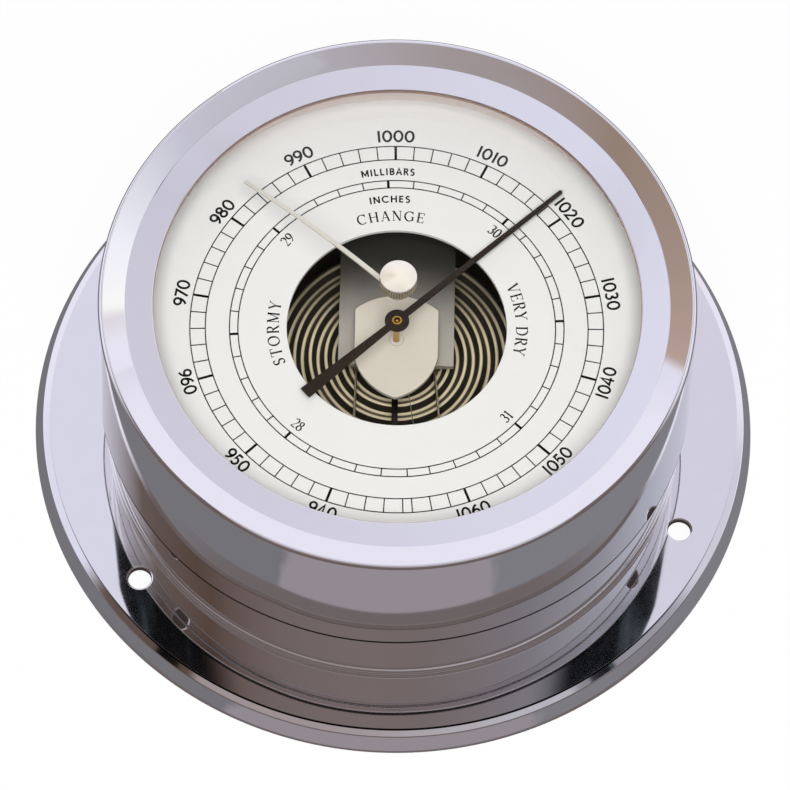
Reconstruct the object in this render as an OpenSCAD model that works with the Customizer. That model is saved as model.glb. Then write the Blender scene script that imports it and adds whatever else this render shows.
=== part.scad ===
// Aneroid ship barometer lying on its back, dial up, in millimetres.
// The origin is the centre of the back plane, +Z points out of the dial
// and +Y points to twelve o'clock on the scale.

/* [Case] */
// Outer diameter of the visible tube of the case
tube_d = 98.8; // [80:0.2:130]
// Height of the case from the back plane to the edge that carries the dial
case_h = 36.3; // [30:0.1:50]
// Wall of the case tube
case_wall = 2.0; // [1.4:0.1:3]
// Width of the base flange outside the tube
flange_w = 13.1; // [11:0.1:20]
// Height of the flat top of the flange above the back plane
flange_z = 4.2; // [3.6:0.1:6]
// Thickness of the flange sheet
flange_t = 1.2; // [0.8:0.1:1.8]
// Width of the sloping rim round the flange
rim_w = 2.6; // [2:0.1:4]
// Diameter of the screw holes in the flange
hole_d = 4.0; // [3:0.1:5]
// Number of screw holes in the flange
hole_n = 3; // [3:1:6]
// Distance from the flange edge to the screw hole centres
hole_inset = 8.5; // [7:0.1:9.5]
// Angle of the first screw hole past twelve o'clock
hole_turn = 7.2; // [0:0.1:60]

/* [Bezel and glass] */
// How far the bezel stands out past the tube
bezel_over = 1.2; // [0.6:0.1:2]
// Wall of the bezel skirt
bezel_wall = 1.4; // [0.9:0.1:2]
// Sheet thickness of the bezel face
bezel_t = 0.95; // [0.7:0.05:1.5]
// Width of the bezel from its outside to its lip
bezel_w = 9.5; // [8:0.1:12]
// Length of the bezel skirt
skirt_h = 29.0; // [20:0.05:32]
// Radius of the outer edge of the bezel
edge_r = 0.8; // [0.4:0.1:1.2]
// Thickness of the domed glass
glass_t = 2.0; // [1.5:0.1:3]
// Height of the glass crown above its seat
dome_h = 11.4; // [8:0.1:14]
// Height of the ring between dial and glass
ring_h = 3.5; // [3:0.1:5]
// Width of the ring between dial and glass
ring_w = 4.0; // [3.2:0.1:5]

/* [Dial and hands] */
// Thickness of the dial sheet
dial_t = 0.8; // [0.5:0.1:1.5]
// Diameter of the window in the dial
window_d = 37.3; // [30:0.1:44]
// Height of the pointer above the dial
pointer_lift = 2.0; // [1.2:0.1:2.6]
// Thickness of the pointer
pointer_t = 0.4; // [0.3:0.05:0.6]
// Distance from the ring wall to the tip of the pointer
pointer_margin = 7.1; // [4:0.1:14]
// Length of the tail of the pointer
pointer_tail = 20.8; // [12:0.1:26]
// Angle of the pointer at rest, from three o'clock
pointer_angle = 43; // [-80:1:270]
// Diameter of the pointer arbor
arbor_d = 1.0; // [0.8:0.1:1.4]
// Distance from the ring wall to the tip of the set hand
set_margin = 9.4; // [6:0.1:18]
// Angle of the set hand at rest, from three o'clock
set_angle = 138; // [0:0.5:360]
// Diameter of the set knob
knob_d = 6.2; // [5.6:0.1:9]
// Height of the rim of the set knob
knob_h = 2.85; // [2:0.05:5]
// Diameter of the axle of the set hand
axle_d = 1.6; // [1.2:0.1:3.2]

/* [Movement] */
// Depth of the shield plate below the dial face
shield_drop = 4.6; // [3.6:0.1:6]
// Half width of the shield plate
shield_w = 7.1; // [6.5:0.1:9]
// Room between bridge and shield plate
shield_gap = 1.7; // [1.6:0.1:3]
// Thickness of the bridge plate
bridge_t = 1.0; // [0.8:0.1:1.6]
// Diameter of the aneroid capsule
capsule_d = 44.6; // [38:0.2:54]
// Height of the aneroid capsule
capsule_h = 9.0; // [7:0.1:11]
// Radial pitch of the capsule corrugations
wave_pitch = 2.68; // [2.2:0.02:3.4]
// Height of the capsule corrugations
wave_h = 1.1; // [0.6:0.1:1.6]
// Diameter of the lever wire
wire_d = 0.42; // [0.3:0.02:0.6]
// Diameter of the drum that takes the thread
drum_d = 1.3; // [1.2:0.1:1.5]
// Turns of the hairspring
hair_turns = 3.5; // [2.5:0.5:3.5]

/* [Hidden] */
$fn = 96;
// Finer rounding for the large spheres of the dome
dome_fn = 360;

// Clearances: a drive fit, a running fit, and air between parts that move apart
fit = 0.02;
run = 0.05;
air = 0.3;
// Overlap that keeps cutting tools clear of faces
cut = 1;

// Case radii and heights
tube_r = tube_d / 2;
tube_in_r = tube_r - case_wall;
flange_r = tube_r + flange_w;
hole_circle_r = flange_r - hole_inset;
rim_in_r = flange_r - rim_w;
rim_band_w = 1.2;
rim_band_drop = 0.45;
rim_foot_w = 1.6;
rim_foot_h = 0.5;
rim_under = 0.1;
bead_r = 0.7;
bead_z = flange_z + bead_r;
lip_drop = 0.8;
lip_w = 2.6;
step_w = 1.0;
back_seat_z = flange_z - flange_t - lip_drop;
back_lip_r = tube_in_r - lip_w;
back_step_r = tube_r - step_w;
back_room = 0.2;

// Bezel, dial, ring and glass
bezel_r = tube_r + bezel_over;
bezel_in_r = bezel_r - bezel_wall;
neck_r = bezel_in_r - run;
dial_room = 0.15;
dial_r = neck_r - dial_room;
dial_top = case_h + dial_t;
ring_in_r = dial_r - ring_w;
seat_z = dial_top + ring_h;
glass_room = 1.3;
glass_r = dial_r - glass_room;
seat_step = 0.65;
dome_in_h = dome_h - glass_t;
dome_in_r = (pow(ring_in_r + seat_step, 2) + pow(dome_in_h, 2)) / (2 * dome_in_h);
dome_out_r = dome_in_r + glass_t;
dome_z = seat_z + dome_in_h - dome_in_r;
crown_in_z = seat_z + dome_in_h;
crown_z = seat_z + dome_h;
function glass_top(r) = dome_z + sqrt(dome_out_r * dome_out_r - r * r);
lip_r = bezel_r - bezel_w;
lip_gap = 0.35;
lip_z = glass_top(lip_r) + lip_gap + bezel_t;
face_w = bezel_w / 2;
face_tilt = 6.8;
brim_tilt = 16;
break_r = lip_r + face_w;
break_z = lip_z + face_w * tan(face_tilt);
edge_c_r = bezel_r - edge_r;
edge_t_r = edge_c_r - edge_r * sin(brim_tilt);
edge_t_z = break_z + (edge_t_r - break_r) * tan(brim_tilt);
edge_c_z = edge_t_z - edge_r * cos(brim_tilt);
bezel_top = edge_c_z + edge_r;
bezel_z = bezel_top - skirt_h;
bezel_gap = 0.5;
shoulder_z = bezel_z - bezel_gap;
gasket_inset = 0.9;
gasket_room = 0.2;
gasket_in_r = lip_r + gasket_inset;
gasket_out_r = break_r - gasket_room;
function under_face(r) = lip_z - bezel_t + (r - lip_r) * tan(face_tilt);

// Set hand, knob and axle on the crown of the glass
axle_r = axle_d / 2;
hand_t = 0.4;
hand_room = 0.6;
hand_hub_w = 0.6;
hand_out_r = dome_in_r - hand_room;
hand_in_r = hand_out_r - hand_t;
hand_top_z = dome_z + hand_out_r;
hand_low_z = dome_z + hand_in_r;
hand_hub_r = axle_r + hand_hub_w;
set_len = ring_in_r - set_margin;
knob_r = knob_d / 2;
knob_cone_h = 0.5;
washer_t = 0.25;
knob_z = crown_z + run + washer_t + fit;

// Heights of the movement, counted down from the dial
pointer_z = dial_top + pointer_lift;
pointer_len = ring_in_r - pointer_margin;
hub_r = 2.07;
shield_t = 0.8;
shield_top = dial_top - shield_drop;
shield_z = shield_top - shield_t;
bridge_top = shield_z - shield_gap;
bridge_z = bridge_top - bridge_t;
lever_t = 1.0;
lever_drop = 1.0;
lever_z = bridge_z - lever_drop;
lever_room = 1.4;
capsule_top = lever_z - lever_t / 2 - lever_room;
capsule_z = capsule_top - capsule_h;
foot_h = 3.6;
base_t = 1.2;
base_top = capsule_z - foot_h;
base_z = base_top - base_t;
back_t = 1.2;
back_z = back_seat_z - back_t;

// Arbor train between bridge and shield
arbor_r = arbor_d / 2;
bearing_w = 0.7;
bearing_r = arbor_r + bearing_w;
drum_r = drum_d / 2;
drum_flange_w = 0.35;
drum_flange_r = drum_r + drum_flange_w;
thread_r = 0.075;
thread_lift = 0.65;
thread_z = bridge_top + thread_lift;
groove_h = 0.3;
drum_flange_t = 0.15;
collet_w = 0.4;
collet_r = arbor_r + collet_w;
collet_over = 0.05;
hair_t = 0.1;
hair_h = 0.2;
hair_lift = 0.55;
hair_room = 0.15;
hair_z = thread_z + hair_lift;
hair_in_r = collet_r + hair_room;
hair_pitch = 0.557;
hair_out_r = hair_in_r + hair_turns * hair_pitch;
hair_steps = 24;
hair_gap = hair_pitch - hair_t;

// Places on the base plate, set by the capsule radius
capsule_r = capsule_d / 2;
post_r = 2.0;
post_x = 7.0;
post_room = 2.6;
post_y = sqrt(pow(capsule_r + post_r + post_room, 2) - post_x * post_x);
bridge_w = 9.85;
bridge_over = 0.6;
bridge_end = post_y + post_r + bridge_over;
pivot_y = -3.0;
ear_x = 5.0;
ear_w = 1.0;
ear_y = 0.6;
ear_d = 1.8;
pivot_r = 0.5;
ear_wall = 0.6;
ear_z = lever_z - pivot_r - ear_wall;
lever_w = 1.05;
lever_hub_r = 0.85;
link_room = 1.6;
wire_inset = 1.4;
link_y = -(capsule_r + link_room);
wire_y = link_y + wire_inset;
link_pin_r = 0.35;
link_x = 0.75;
link_t = 0.7;
eye_wall = 0.45;
open_pivot = 0.3;
rocker_arm_len = 4.0;
rocker_y = link_y - rocker_arm_len;
thread_arm_len = 8.0;
rocker_z = thread_z - thread_arm_len;
shaft_r = 0.7;
rocker_hub_r = 1.4;
arm_w = 1.0;
thread_x = 5.6;
bearing_t = 1.6;
bearing_half = 1.2;
bearing_xs = [-5.0, thread_x + 3.6];
bearing_rise = 1.65;
bearing_top = rocker_z + bearing_rise;
base_rim = 1.2;
base_r = norm([bearing_xs[1] + bearing_t / 2, rocker_y - bearing_half]) + base_rim;
pillar_r = 2.2;
pillar_room = 3.5;
pillar_circle_r = capsule_r + pillar_r + pillar_room;
pillar_angles = [30, 150, 270];

// Small screws: shank, head and slot
screw_r = 1.0;
head_r = 1.8;
head_h = 0.9;
slot_w = 0.5;
slot_h = 0.4;
back_screw_r = 0.8;
back_head_r = 1.4;
back_screw_n = 4;
access_r = 3.2;
stud_r = 2.0;
adjust_r = 1.2;
nut_flats_r = 3.6;
nut_h = 1.8;

echo("least gap between hairspring turns", hair_gap);

// Shapes that several parts share

module ring(r_out, r_in, h) {
  difference() {
    cylinder(h = h, r = r_out);
    translate([0, 0, -cut]) cylinder(h = h + 2 * cut, r = r_in);
  }
}

// A slotted screw with its head resting on z = 0 and its shank going down
module screw(shank_r, shank_l, cap_r, cap_h) {
  difference() {
    cylinder(h = cap_h, r = cap_r);
    translate([-cap_r - cut, -slot_w / 2, cap_h - slot_h]) cube([2 * (cap_r + cut), slot_w, slot_h + cut]);
  }
  translate([0, 0, -shank_l]) cylinder(h = shank_l + cap_h / 4, r = shank_r);
}

// A round rod from point p to point q
module rod(p, q, r) {
  d = q - p;
  len = norm(d);
  translate(p) rotate([0, acos(d[2] / len), atan2(d[1], d[0])]) cylinder(h = len, r = r);
}

// A cylinder along X from x0 to x1 at the given y and z
module x_pin(x0, x1, y, z, r) {
  translate([x0, y, z]) rotate([0, 90, 0]) cylinder(h = x1 - x0, r = r);
}

module at_pillars() {
  for (a = pillar_angles) rotate(a) translate([pillar_circle_r, 0, 0]) children();
}

module at_back_screws() {
  for (i = [0 : back_screw_n - 1])
    rotate(45 + i * 360 / back_screw_n) translate([back_lip_r + lip_w / 2, 0, 0]) children();
}

module at_posts() {
  for (x = [-post_x, post_x]) translate([x, post_y, 0]) children();
}

module at_bearings() {
  for (x = bearing_xs) translate([x, rocker_y, 0]) children();
}

// Case, bezel and glass

module case_profile() {
  polygon([
    [back_lip_r, back_seat_z],
    [back_step_r, back_seat_z],
    [back_step_r, flange_z - flange_t],
    [rim_in_r - rim_under, flange_z - flange_t],
    [flange_r - rim_foot_w, 0],
    [flange_r, 0],
    [flange_r, rim_foot_h],
    [rim_in_r + rim_band_w, flange_z - rim_band_drop],
    [rim_in_r, flange_z],
    [tube_r, flange_z],
    [tube_r, shoulder_z],
    [neck_r, shoulder_z],
    [neck_r, case_h],
    [tube_in_r, case_h],
    [tube_in_r, flange_z],
    [back_lip_r, flange_z]
  ]);
  translate([tube_r, bead_z]) circle(r = bead_r, $fn = 32);
}

module case_body() color("silver") difference() {
  rotate_extrude() case_profile();
  for (i = [0 : hole_n - 1])
    rotate(90 + hole_turn + i * 360 / hole_n) translate([hole_circle_r, 0, 0])
      cylinder(h = flange_z + cut, d = hole_d);
  at_back_screws() translate([0, 0, back_seat_z - cut])
    cylinder(h = flange_z - back_seat_z + 2 * cut, r = back_screw_r + fit);
}

module bezel() color("silver") rotate_extrude() {
  polygon([
    [lip_r, lip_z - bezel_t],
    [break_r, break_z - bezel_t],
    [bezel_in_r, break_z - bezel_t + (bezel_in_r - break_r) * tan(brim_tilt)],
    [bezel_in_r, bezel_z],
    [bezel_r, bezel_z],
    [bezel_r, edge_c_z],
    [edge_c_r, edge_c_z],
    [edge_t_r, edge_t_z],
    [break_r, break_z],
    [lip_r, lip_z]
  ]);
  translate([edge_c_r, edge_c_z]) circle(r = edge_r, $fn = 32);
}

module domed_glass() color("white", 0.3) difference() {
  intersection() {
    translate([0, 0, dome_z]) sphere(r = dome_out_r, $fn = dome_fn);
    translate([0, 0, seat_z]) cylinder(h = dome_h + cut, r = glass_r);
  }
  translate([0, 0, dome_z]) sphere(r = dome_in_r, $fn = dome_fn);
  translate([0, 0, crown_in_z - cut]) cylinder(h = glass_t + 2 * cut, r = axle_r + run);
}

module glass_gasket() color("dimgray") difference() {
  rotate_extrude() polygon([
    [gasket_in_r, seat_z],
    [gasket_out_r, seat_z],
    [gasket_out_r, under_face(gasket_out_r) - fit],
    [gasket_in_r, under_face(gasket_in_r) - fit]
  ]);
  translate([0, 0, dome_z]) sphere(r = dome_out_r + run, $fn = dome_fn);
}

module retaining_ring() color("linen") translate([0, 0, dial_top]) ring(dial_r, ring_in_r, ring_h);

module dial() color("ivory") translate([0, 0, case_h]) ring(dial_r, window_d / 2, dial_t);

// Back of the case

module back_plate() color("gainsboro") translate([0, 0, back_z]) difference() {
  cylinder(h = back_t, r = back_step_r - back_room);
  translate([0, 0, -cut]) cylinder(h = back_t + 2 * cut, r = access_r);
  at_back_screws() translate([0, 0, -cut]) cylinder(h = back_t + 2 * cut, r = back_screw_r + run);
  at_pillars() translate([0, 0, -cut]) cylinder(h = back_t + 2 * cut, r = screw_r + run);
}

module back_screws() color("lightgray") at_back_screws() translate([0, 0, back_z]) mirror([0, 0, 1])
  screw(back_screw_r, back_t + flange_z - back_seat_z, back_head_r, head_h);

// Base plate of the movement

module movement_base() color("darkkhaki") translate([0, 0, base_z]) difference() {
  cylinder(h = base_t, r = base_r);
  translate([0, 0, -cut]) cylinder(h = base_t + 2 * cut, r = stud_r + fit);
  at_pillars() translate([0, 0, -cut]) cylinder(h = base_t + 2 * cut, r = screw_r + run);
  at_posts() translate([0, 0, -cut]) cylinder(h = base_t + 2 * cut, r = screw_r + run);
  at_bearings() translate([0, 0, -cut]) cylinder(h = base_t + 2 * cut, r = bearing_screw_r + run);
}

module movement_pillars() color("darkgoldenrod") at_pillars() translate([0, 0, back_seat_z])
  ring(pillar_r, screw_r + fit, base_z - back_seat_z);

pillar_screw_l = (base_z - back_seat_z) / 2 - air;

module pillar_screws() color("lightgray") at_pillars() translate([0, 0, back_z]) mirror([0, 0, 1])
  screw(screw_r, back_t + pillar_screw_l, head_r, head_h);

module base_screws() color("lightgray") at_pillars() translate([0, 0, base_top])
  screw(screw_r, base_t + pillar_screw_l, head_r, head_h);

// Aneroid capsule: two corrugated sheets soldered together at the rim

capsule_mid = (capsule_top + capsule_z) / 2;
sheet_t = 0.3;
rim_flat_w = 1.2;
dome_r0 = capsule_r - rim_flat_w;
boss_r = 6.6;
wave_steps = 10;
shoulder_w = 1.1;
shoulder_drop = 0.4;
crest_r = dome_r0 - shoulder_w;
// Height of the corrugated sheet above the rim plane at radius r
function wave(r) = capsule_h / 2 - sheet_t - wave_h / 2 * (1 - cos(360 * (crest_r - r) / wave_pitch));
wave_n = floor((crest_r - boss_r) / wave_pitch * wave_steps);
wave_rs = [for (i = [0 : wave_n]) crest_r - i * wave_pitch / wave_steps];
boss_z = wave(wave_rs[wave_n]);

module capsule_half() rotate_extrude() polygon(concat(
  [[0, boss_z + sheet_t], [0, boss_z]],
  [for (i = [wave_n : -1 : 0]) [wave_rs[i], wave(wave_rs[i])]],
  [[dome_r0 - sheet_t, capsule_h / 2 - sheet_t - shoulder_drop], [dome_r0 - sheet_t, 0], [capsule_r, 0]],
  [[capsule_r, sheet_t], [dome_r0, sheet_t], [dome_r0, capsule_h / 2 - shoulder_drop]],
  [for (i = [0 : wave_n]) [wave_rs[i], wave(wave_rs[i]) + sheet_t]]
));

module capsule_upper() color("peru") translate([0, 0, capsule_mid]) capsule_half();

module capsule_lower() color("peru") translate([0, 0, capsule_mid]) mirror([0, 0, 1]) capsule_half();

seat_r = boss_r - 2.5;
seat_t = 0.5;
stud_tip_r = 0.6;
stud_gap = 0.15;
capsule_boss_top = capsule_mid + boss_z + sheet_t;
stud_top = lever_z - lever_t / 2 - stud_gap;

module capsule_stud() color("darkgoldenrod") translate([0, 0, capsule_boss_top]) {
  cylinder(h = seat_t, r = seat_r);
  cylinder(h = stud_top - capsule_boss_top, r = stud_tip_r);
}

foot_top = capsule_mid - boss_z - sheet_t;
foot_over = 0.5;
foot_end = base_z - nut_h - foot_over;

module capsule_foot() color("darkgoldenrod") difference() {
  union() {
    translate([0, 0, base_top]) cylinder(h = foot_top - base_top, r = seat_r);
    translate([0, 0, foot_end]) cylinder(h = base_top - foot_end + seat_t, r = stud_r);
  }
  translate([0, 0, foot_end - cut]) cylinder(h = base_top - foot_end + cut, r = adjust_r + run);
}

module capsule_nut() color("lightgray") translate([0, 0, base_z - nut_h]) difference() {
  cylinder(h = nut_h, r = nut_flats_r, $fn = 6);
  translate([0, 0, -cut]) cylinder(h = nut_h + 2 * cut, r = stud_r + fit);
}

adjust_head_h = 1.3;
adjust_room = 1.0;

module adjusting_screw() color("gold") translate([0, 0, foot_end - run]) mirror([0, 0, 1])
  screw(adjust_r, base_top - foot_end - adjust_room, stud_r, adjust_head_h);

// Bridge, shield plate and bearings

module bridge() color("darkgray") difference() {
  union() {
    translate([-bridge_w, pivot_y - ear_y, bridge_z])
      cube([2 * bridge_w, bridge_end - pivot_y + ear_y, bridge_t]);
    for (x = [-ear_x - ear_w, ear_x])
      translate([x, pivot_y - ear_y, ear_z])
        cube([ear_w, ear_d, bridge_top - ear_z - bridge_t / 2]);
  }
  translate([0, 0, bridge_z - cut]) cylinder(h = bridge_t + 2 * cut, r = bearing_r + fit);
  at_posts() translate([0, 0, bridge_z - cut]) cylinder(h = bridge_t + 2 * cut, r = screw_r + run);
  x_pin(-ear_x - ear_w - cut, ear_x + ear_w + cut, pivot_y, lever_z, pivot_r + run);
}

module bridge_posts() color("darkgoldenrod") at_posts() translate([0, 0, base_top])
  ring(post_r, screw_r + fit, bridge_z - base_top);

post_screw_l = 4.0;

module bridge_screws() color("lightgray") at_posts() translate([0, 0, bridge_top])
  screw(screw_r, bridge_t + post_screw_l, head_r, head_h);

module post_screws() color("lightgray") at_posts() translate([0, 0, base_z]) mirror([0, 0, 1])
  screw(screw_r, base_t + post_screw_l, head_r, head_h);

// The shield has a curved top, straight sides and two bowed flanks that meet in a blunt point
shield_arc_r = 10.7;
shield_apex = 8.4;
shield_corner = -3.45;
shield_tip = -11.1;
flank_r = 10.2;
// Each flank is an arc through a lower corner and the point, and its centre lies across the axis
flank = [-shield_w, shield_tip - shield_corner];
flank_in = [flank[1], -flank[0]] / norm(flank);
flank_depth = sqrt(pow(flank_r, 2) - pow(norm(flank) / 2, 2));
flank_centre = [shield_w, shield_corner] + flank / 2 + flank_in * flank_depth;

module shield_outline() {
  intersection() {
    translate([0, shield_apex - shield_arc_r]) circle(r = shield_arc_r);
    translate([-shield_w, shield_corner]) square([2 * shield_w, shield_apex - shield_corner]);
  }
  intersection() {
    translate(flank_centre) circle(r = flank_r);
    translate([-flank_centre[0], flank_centre[1]]) circle(r = flank_r);
    translate([-shield_w, shield_tip]) square([2 * shield_w, -shield_tip]);
  }
}

module shield_plate() color("antiquewhite") translate([0, 0, shield_z]) difference() {
  linear_extrude(shield_t) shield_outline();
  translate([0, 0, -cut]) cylinder(h = shield_t + 2 * cut, r = bearing_r + fit);
}

pillar_places = [[-5.4, 4.0], [5.4, 4.0], [-5.6, -1.8], [5.6, -1.8]];
shield_pillar_r = 0.8;

module shield_pillars() color("darkgoldenrod") for (p = pillar_places)
  translate([p[0], p[1], bridge_top]) cylinder(h = shield_gap, r = shield_pillar_r);

module lower_bearing() color("gold") translate([0, 0, bridge_z]) ring(bearing_r, arbor_r + run, bridge_t);

module upper_bearing() color("gold") translate([0, 0, shield_z]) ring(bearing_r, arbor_r + run, shield_t);

// Pointer and its arbor

bush_r = 0.85;
bush_low = 0.9;
arbor_tip = 0.15;
needle_w = 0.75;
tail_w0 = 1.2;
tail_w = 2.2;

module pointer_outline() {
  circle(r = hub_r);
  polygon([
    [0, -tail_w0 / 2],
    [pointer_len - needle_w / 2, -needle_w / 2],
    [pointer_len - needle_w / 2, needle_w / 2],
    [0, tail_w0 / 2]
  ]);
  translate([pointer_len - needle_w / 2, 0]) circle(d = needle_w, $fn = 24);
  polygon([
    [0, -tail_w0 / 2],
    [0, tail_w0 / 2],
    [-pointer_tail, tail_w / 2],
    [-pointer_tail, -tail_w / 2]
  ]);
}

module pointer() color("black") translate([0, 0, pointer_z]) difference() {
  linear_extrude(pointer_t) rotate(pointer_angle) pointer_outline();
  translate([0, 0, -cut]) cylinder(h = pointer_t + 2 * cut, r = bush_r + fit);
}

module pointer_bush() color("goldenrod") translate([0, 0, pointer_z - bush_low])
  ring(bush_r, arbor_r + fit, bush_low + pointer_t);

module pointer_arbor() color("gold") translate([0, 0, bridge_z + run])
  cylinder(h = pointer_z + pointer_t - arbor_tip - bridge_z - run, r = arbor_r);

module thread_drum() color("goldenrod") translate([0, 0, thread_z]) difference() {
  union() {
    translate([0, 0, -groove_h / 2]) cylinder(h = groove_h, r = drum_r);
    for (z = [-groove_h / 2 - drum_flange_t, groove_h / 2])
      translate([0, 0, z]) cylinder(h = drum_flange_t, r = drum_flange_r);
  }
  translate([0, 0, -cut]) cylinder(h = 2 * cut, r = arbor_r + fit);
}

module hairspring_collet() color("goldenrod") translate([0, 0, hair_z - collet_over])
  ring(collet_r, arbor_r + fit, hair_h + 2 * collet_over);

function hair_point(i, side) =
  let (a = 360 * i / hair_steps, r = hair_in_r + hair_pitch * i / hair_steps + side * hair_t)
  [r * cos(a), r * sin(a)];
hair_n = hair_turns * hair_steps;

module hairspring() color("steelblue") translate([0, 0, hair_z]) linear_extrude(hair_h) polygon(concat(
  [for (i = [0 : hair_n]) hair_point(i, 0)],
  [for (i = [hair_n : -1 : 0]) hair_point(i, 1)]
));

hair_stud_r = 0.35;
hair_stud_over = 0.1;

module hairspring_stud() color("goldenrod") rotate(360 * hair_turns)
  translate([hair_out_r + hair_t + hair_stud_r + fit, 0, bridge_top])
    cylinder(h = hair_z + hair_h + hair_stud_over - bridge_top, r = hair_stud_r);

// Lever on the bridge, with its wire stirrup

lever_back = 5.0;
lever_front = 1.0;
lever_hub_x = 1.2;
lever_north = pivot_y + lever_back;
lever_south = link_y - lever_front;

module lever_bar() color("dimgray") difference() {
  union() {
    translate([-lever_w / 2, lever_south, lever_z - lever_t / 2])
      cube([lever_w, lever_north - lever_south, lever_t]);
    x_pin(-lever_hub_x, lever_hub_x, pivot_y, lever_z, lever_hub_r);
  }
  x_pin(-lever_hub_x - cut, lever_hub_x + cut, pivot_y, lever_z, pivot_r + fit);
  x_pin(-lever_hub_x - cut, lever_hub_x + cut, link_y, lever_z, link_pin_r + fit);
  x_pin(-lever_hub_x - cut, lever_hub_x + cut, wire_y, lever_z, wire_d / 2 + fit);
}

pin_over = 1.6;
pin_end = ear_x + ear_w + pin_over;

module lever_pin() color("lightgray") x_pin(-pin_end, pin_end, pivot_y, lever_z, pivot_r);

collar_t = 0.7;
collar_r = 0.85;
wire_x = ear_x + ear_w + air + collar_t / 2;
wire_ends = [-wire_x - 0.5, wire_x + 2.0];
wire_root = 0.1;
wire_ball = 0.03;

module wire_stirrup() color("wheat") {
  for (side = [0, 1]) {
    s = side == 0 ? -1 : 1;
    start = [s * wire_x, pivot_y - collar_r + wire_root, lever_z];
    corner = [wire_ends[side], wire_y, lever_z];
    difference() {
      x_pin(s * wire_x - collar_t / 2, s * wire_x + collar_t / 2, pivot_y, lever_z, collar_r);
      x_pin(s * wire_x - collar_t, s * wire_x + collar_t, pivot_y, lever_z, pivot_r + fit);
    }
    rod(start, corner, wire_d / 2);
    translate(corner) sphere(r = wire_d / 2 + wire_ball, $fn = 32);
  }
  x_pin(wire_ends[0], wire_ends[1], wire_y, lever_z, wire_d / 2);
}

// Link from the lever to the rocker

link_pin_over = 0.35;
link_w = 0.8;
link_end = link_x + link_t + link_pin_over;

module link_pin() color("lightgray") x_pin(-lever_w / 2, link_end, link_y, lever_z, link_pin_r);

module link_rod() color("lightgray") {
  difference() {
    union() {
      x_pin(link_x, link_x + link_t, link_y, lever_z, link_pin_r + run + eye_wall);
      x_pin(link_x, link_x + link_t, link_y, rocker_z, link_pin_r + open_pivot + eye_wall);
      translate([link_x, link_y - link_w / 2, rocker_z]) cube([link_t, link_w, lever_z - rocker_z]);
    }
    x_pin(link_x - cut, link_x + link_t + cut, link_y, lever_z, link_pin_r + 2 * run);
    x_pin(link_x - cut, link_x + link_t + cut, link_y, rocker_z, link_pin_r + open_pivot);
  }
}

shaft_over = bearing_t / 2 + 0.4;

module rocker_shaft() color("lightgray")
  x_pin(bearing_xs[0] - shaft_over, bearing_xs[1] + shaft_over, rocker_y, rocker_z, shaft_r);

arm_h = 1.2;

module rocker_arm() color("goldenrod") difference() {
  union() {
    x_pin(-arm_w / 2, arm_w / 2, rocker_y, rocker_z, rocker_hub_r);
    translate([-arm_w / 2, rocker_y, rocker_z - arm_h / 2]) cube([arm_w, rocker_arm_len, arm_h]);
    x_pin(-arm_w / 2, link_end, link_y, rocker_z, link_pin_r);
  }
  x_pin(-cut, cut, rocker_y, rocker_z, shaft_r + fit);
}

fork_slot = 2.0;
fork_w = 3.0;
fork_t = 0.8;
fork_depth = 0.9;
ferrule_r = 0.5;
ferrule_l = 1.0;
ferrule_gap = 0.35;

module thread_arm() color("goldenrod") difference() {
  union() {
    x_pin(thread_x - arm_w / 2, thread_x + arm_w / 2, rocker_y, rocker_z, rocker_hub_r);
    translate([thread_x - fork_w / 2, rocker_y - fork_t / 2, rocker_z])
      cube([fork_w, fork_t, thread_arm_len + fork_depth]);
  }
  x_pin(thread_x - fork_w, thread_x + fork_w, rocker_y, rocker_z, shaft_r + fit);
  translate([thread_x - fork_slot / 2, rocker_y - cut, thread_z - fork_depth])
    cube([fork_slot, 2 * cut, 2 * fork_depth + cut]);
}

bearing_screw_r = bearing_t / 4;
bearing_screw_l = 2.8;
bearing_head_r = 1.0;

module rocker_bearings() color("darkgoldenrod") at_bearings() translate([0, 0, base_top]) difference() {
  translate([-bearing_t / 2, -bearing_half, 0]) cube([bearing_t, 2 * bearing_half, bearing_top - base_top]);
  translate([0, 0, rocker_z - base_top]) rotate([0, 90, 0])
    cylinder(h = 2 * bearing_t, r = shaft_r + run, center = true);
  translate([0, 0, -cut]) cylinder(h = bearing_screw_l + 0.2 + cut, r = bearing_screw_r + fit);
}

module bearing_screws() color("lightgray") at_bearings() translate([0, 0, base_z]) mirror([0, 0, 1])
  screw(bearing_screw_r, base_t + bearing_screw_l, bearing_head_r, head_h);

thread_room = 0.03;
thread_start = [drum_r + thread_r + thread_room, 0, thread_z];
thread_end = [thread_x, rocker_y - fork_t / 2 - ferrule_gap - ferrule_l, thread_z];
thread_dir = (thread_end - thread_start) / norm(thread_end - thread_start);
ferrule_start = thread_end - ferrule_l * thread_dir;

module thread() color("khaki") rod(thread_start, thread_end, thread_r);

module thread_ferrule() color("goldenrod") difference() {
  rod(ferrule_start, thread_end, ferrule_r);
  rod(ferrule_start - thread_dir, thread_end + thread_dir, thread_r + fit);
}

// Set hand with its knob

hand_w0 = 0.9;
hand_w1 = 0.6;

module set_hand() color("whitesmoke") intersection() {
  difference() {
    translate([0, 0, dome_z]) sphere(r = hand_out_r, $fn = dome_fn);
    translate([0, 0, dome_z]) sphere(r = hand_in_r, $fn = dome_fn);
  }
  translate([0, 0, dial_top]) difference() {
    linear_extrude(crown_z - dial_top) rotate(set_angle) {
      circle(r = hand_hub_r);
      polygon([[0, -hand_w0 / 2], [set_len, -hand_w1 / 2], [set_len, hand_w1 / 2], [0, hand_w0 / 2]]);
    }
    translate([0, 0, -cut]) cylinder(h = crown_z - dial_top + 2 * cut, r = axle_r + fit);
  }
}

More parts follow.
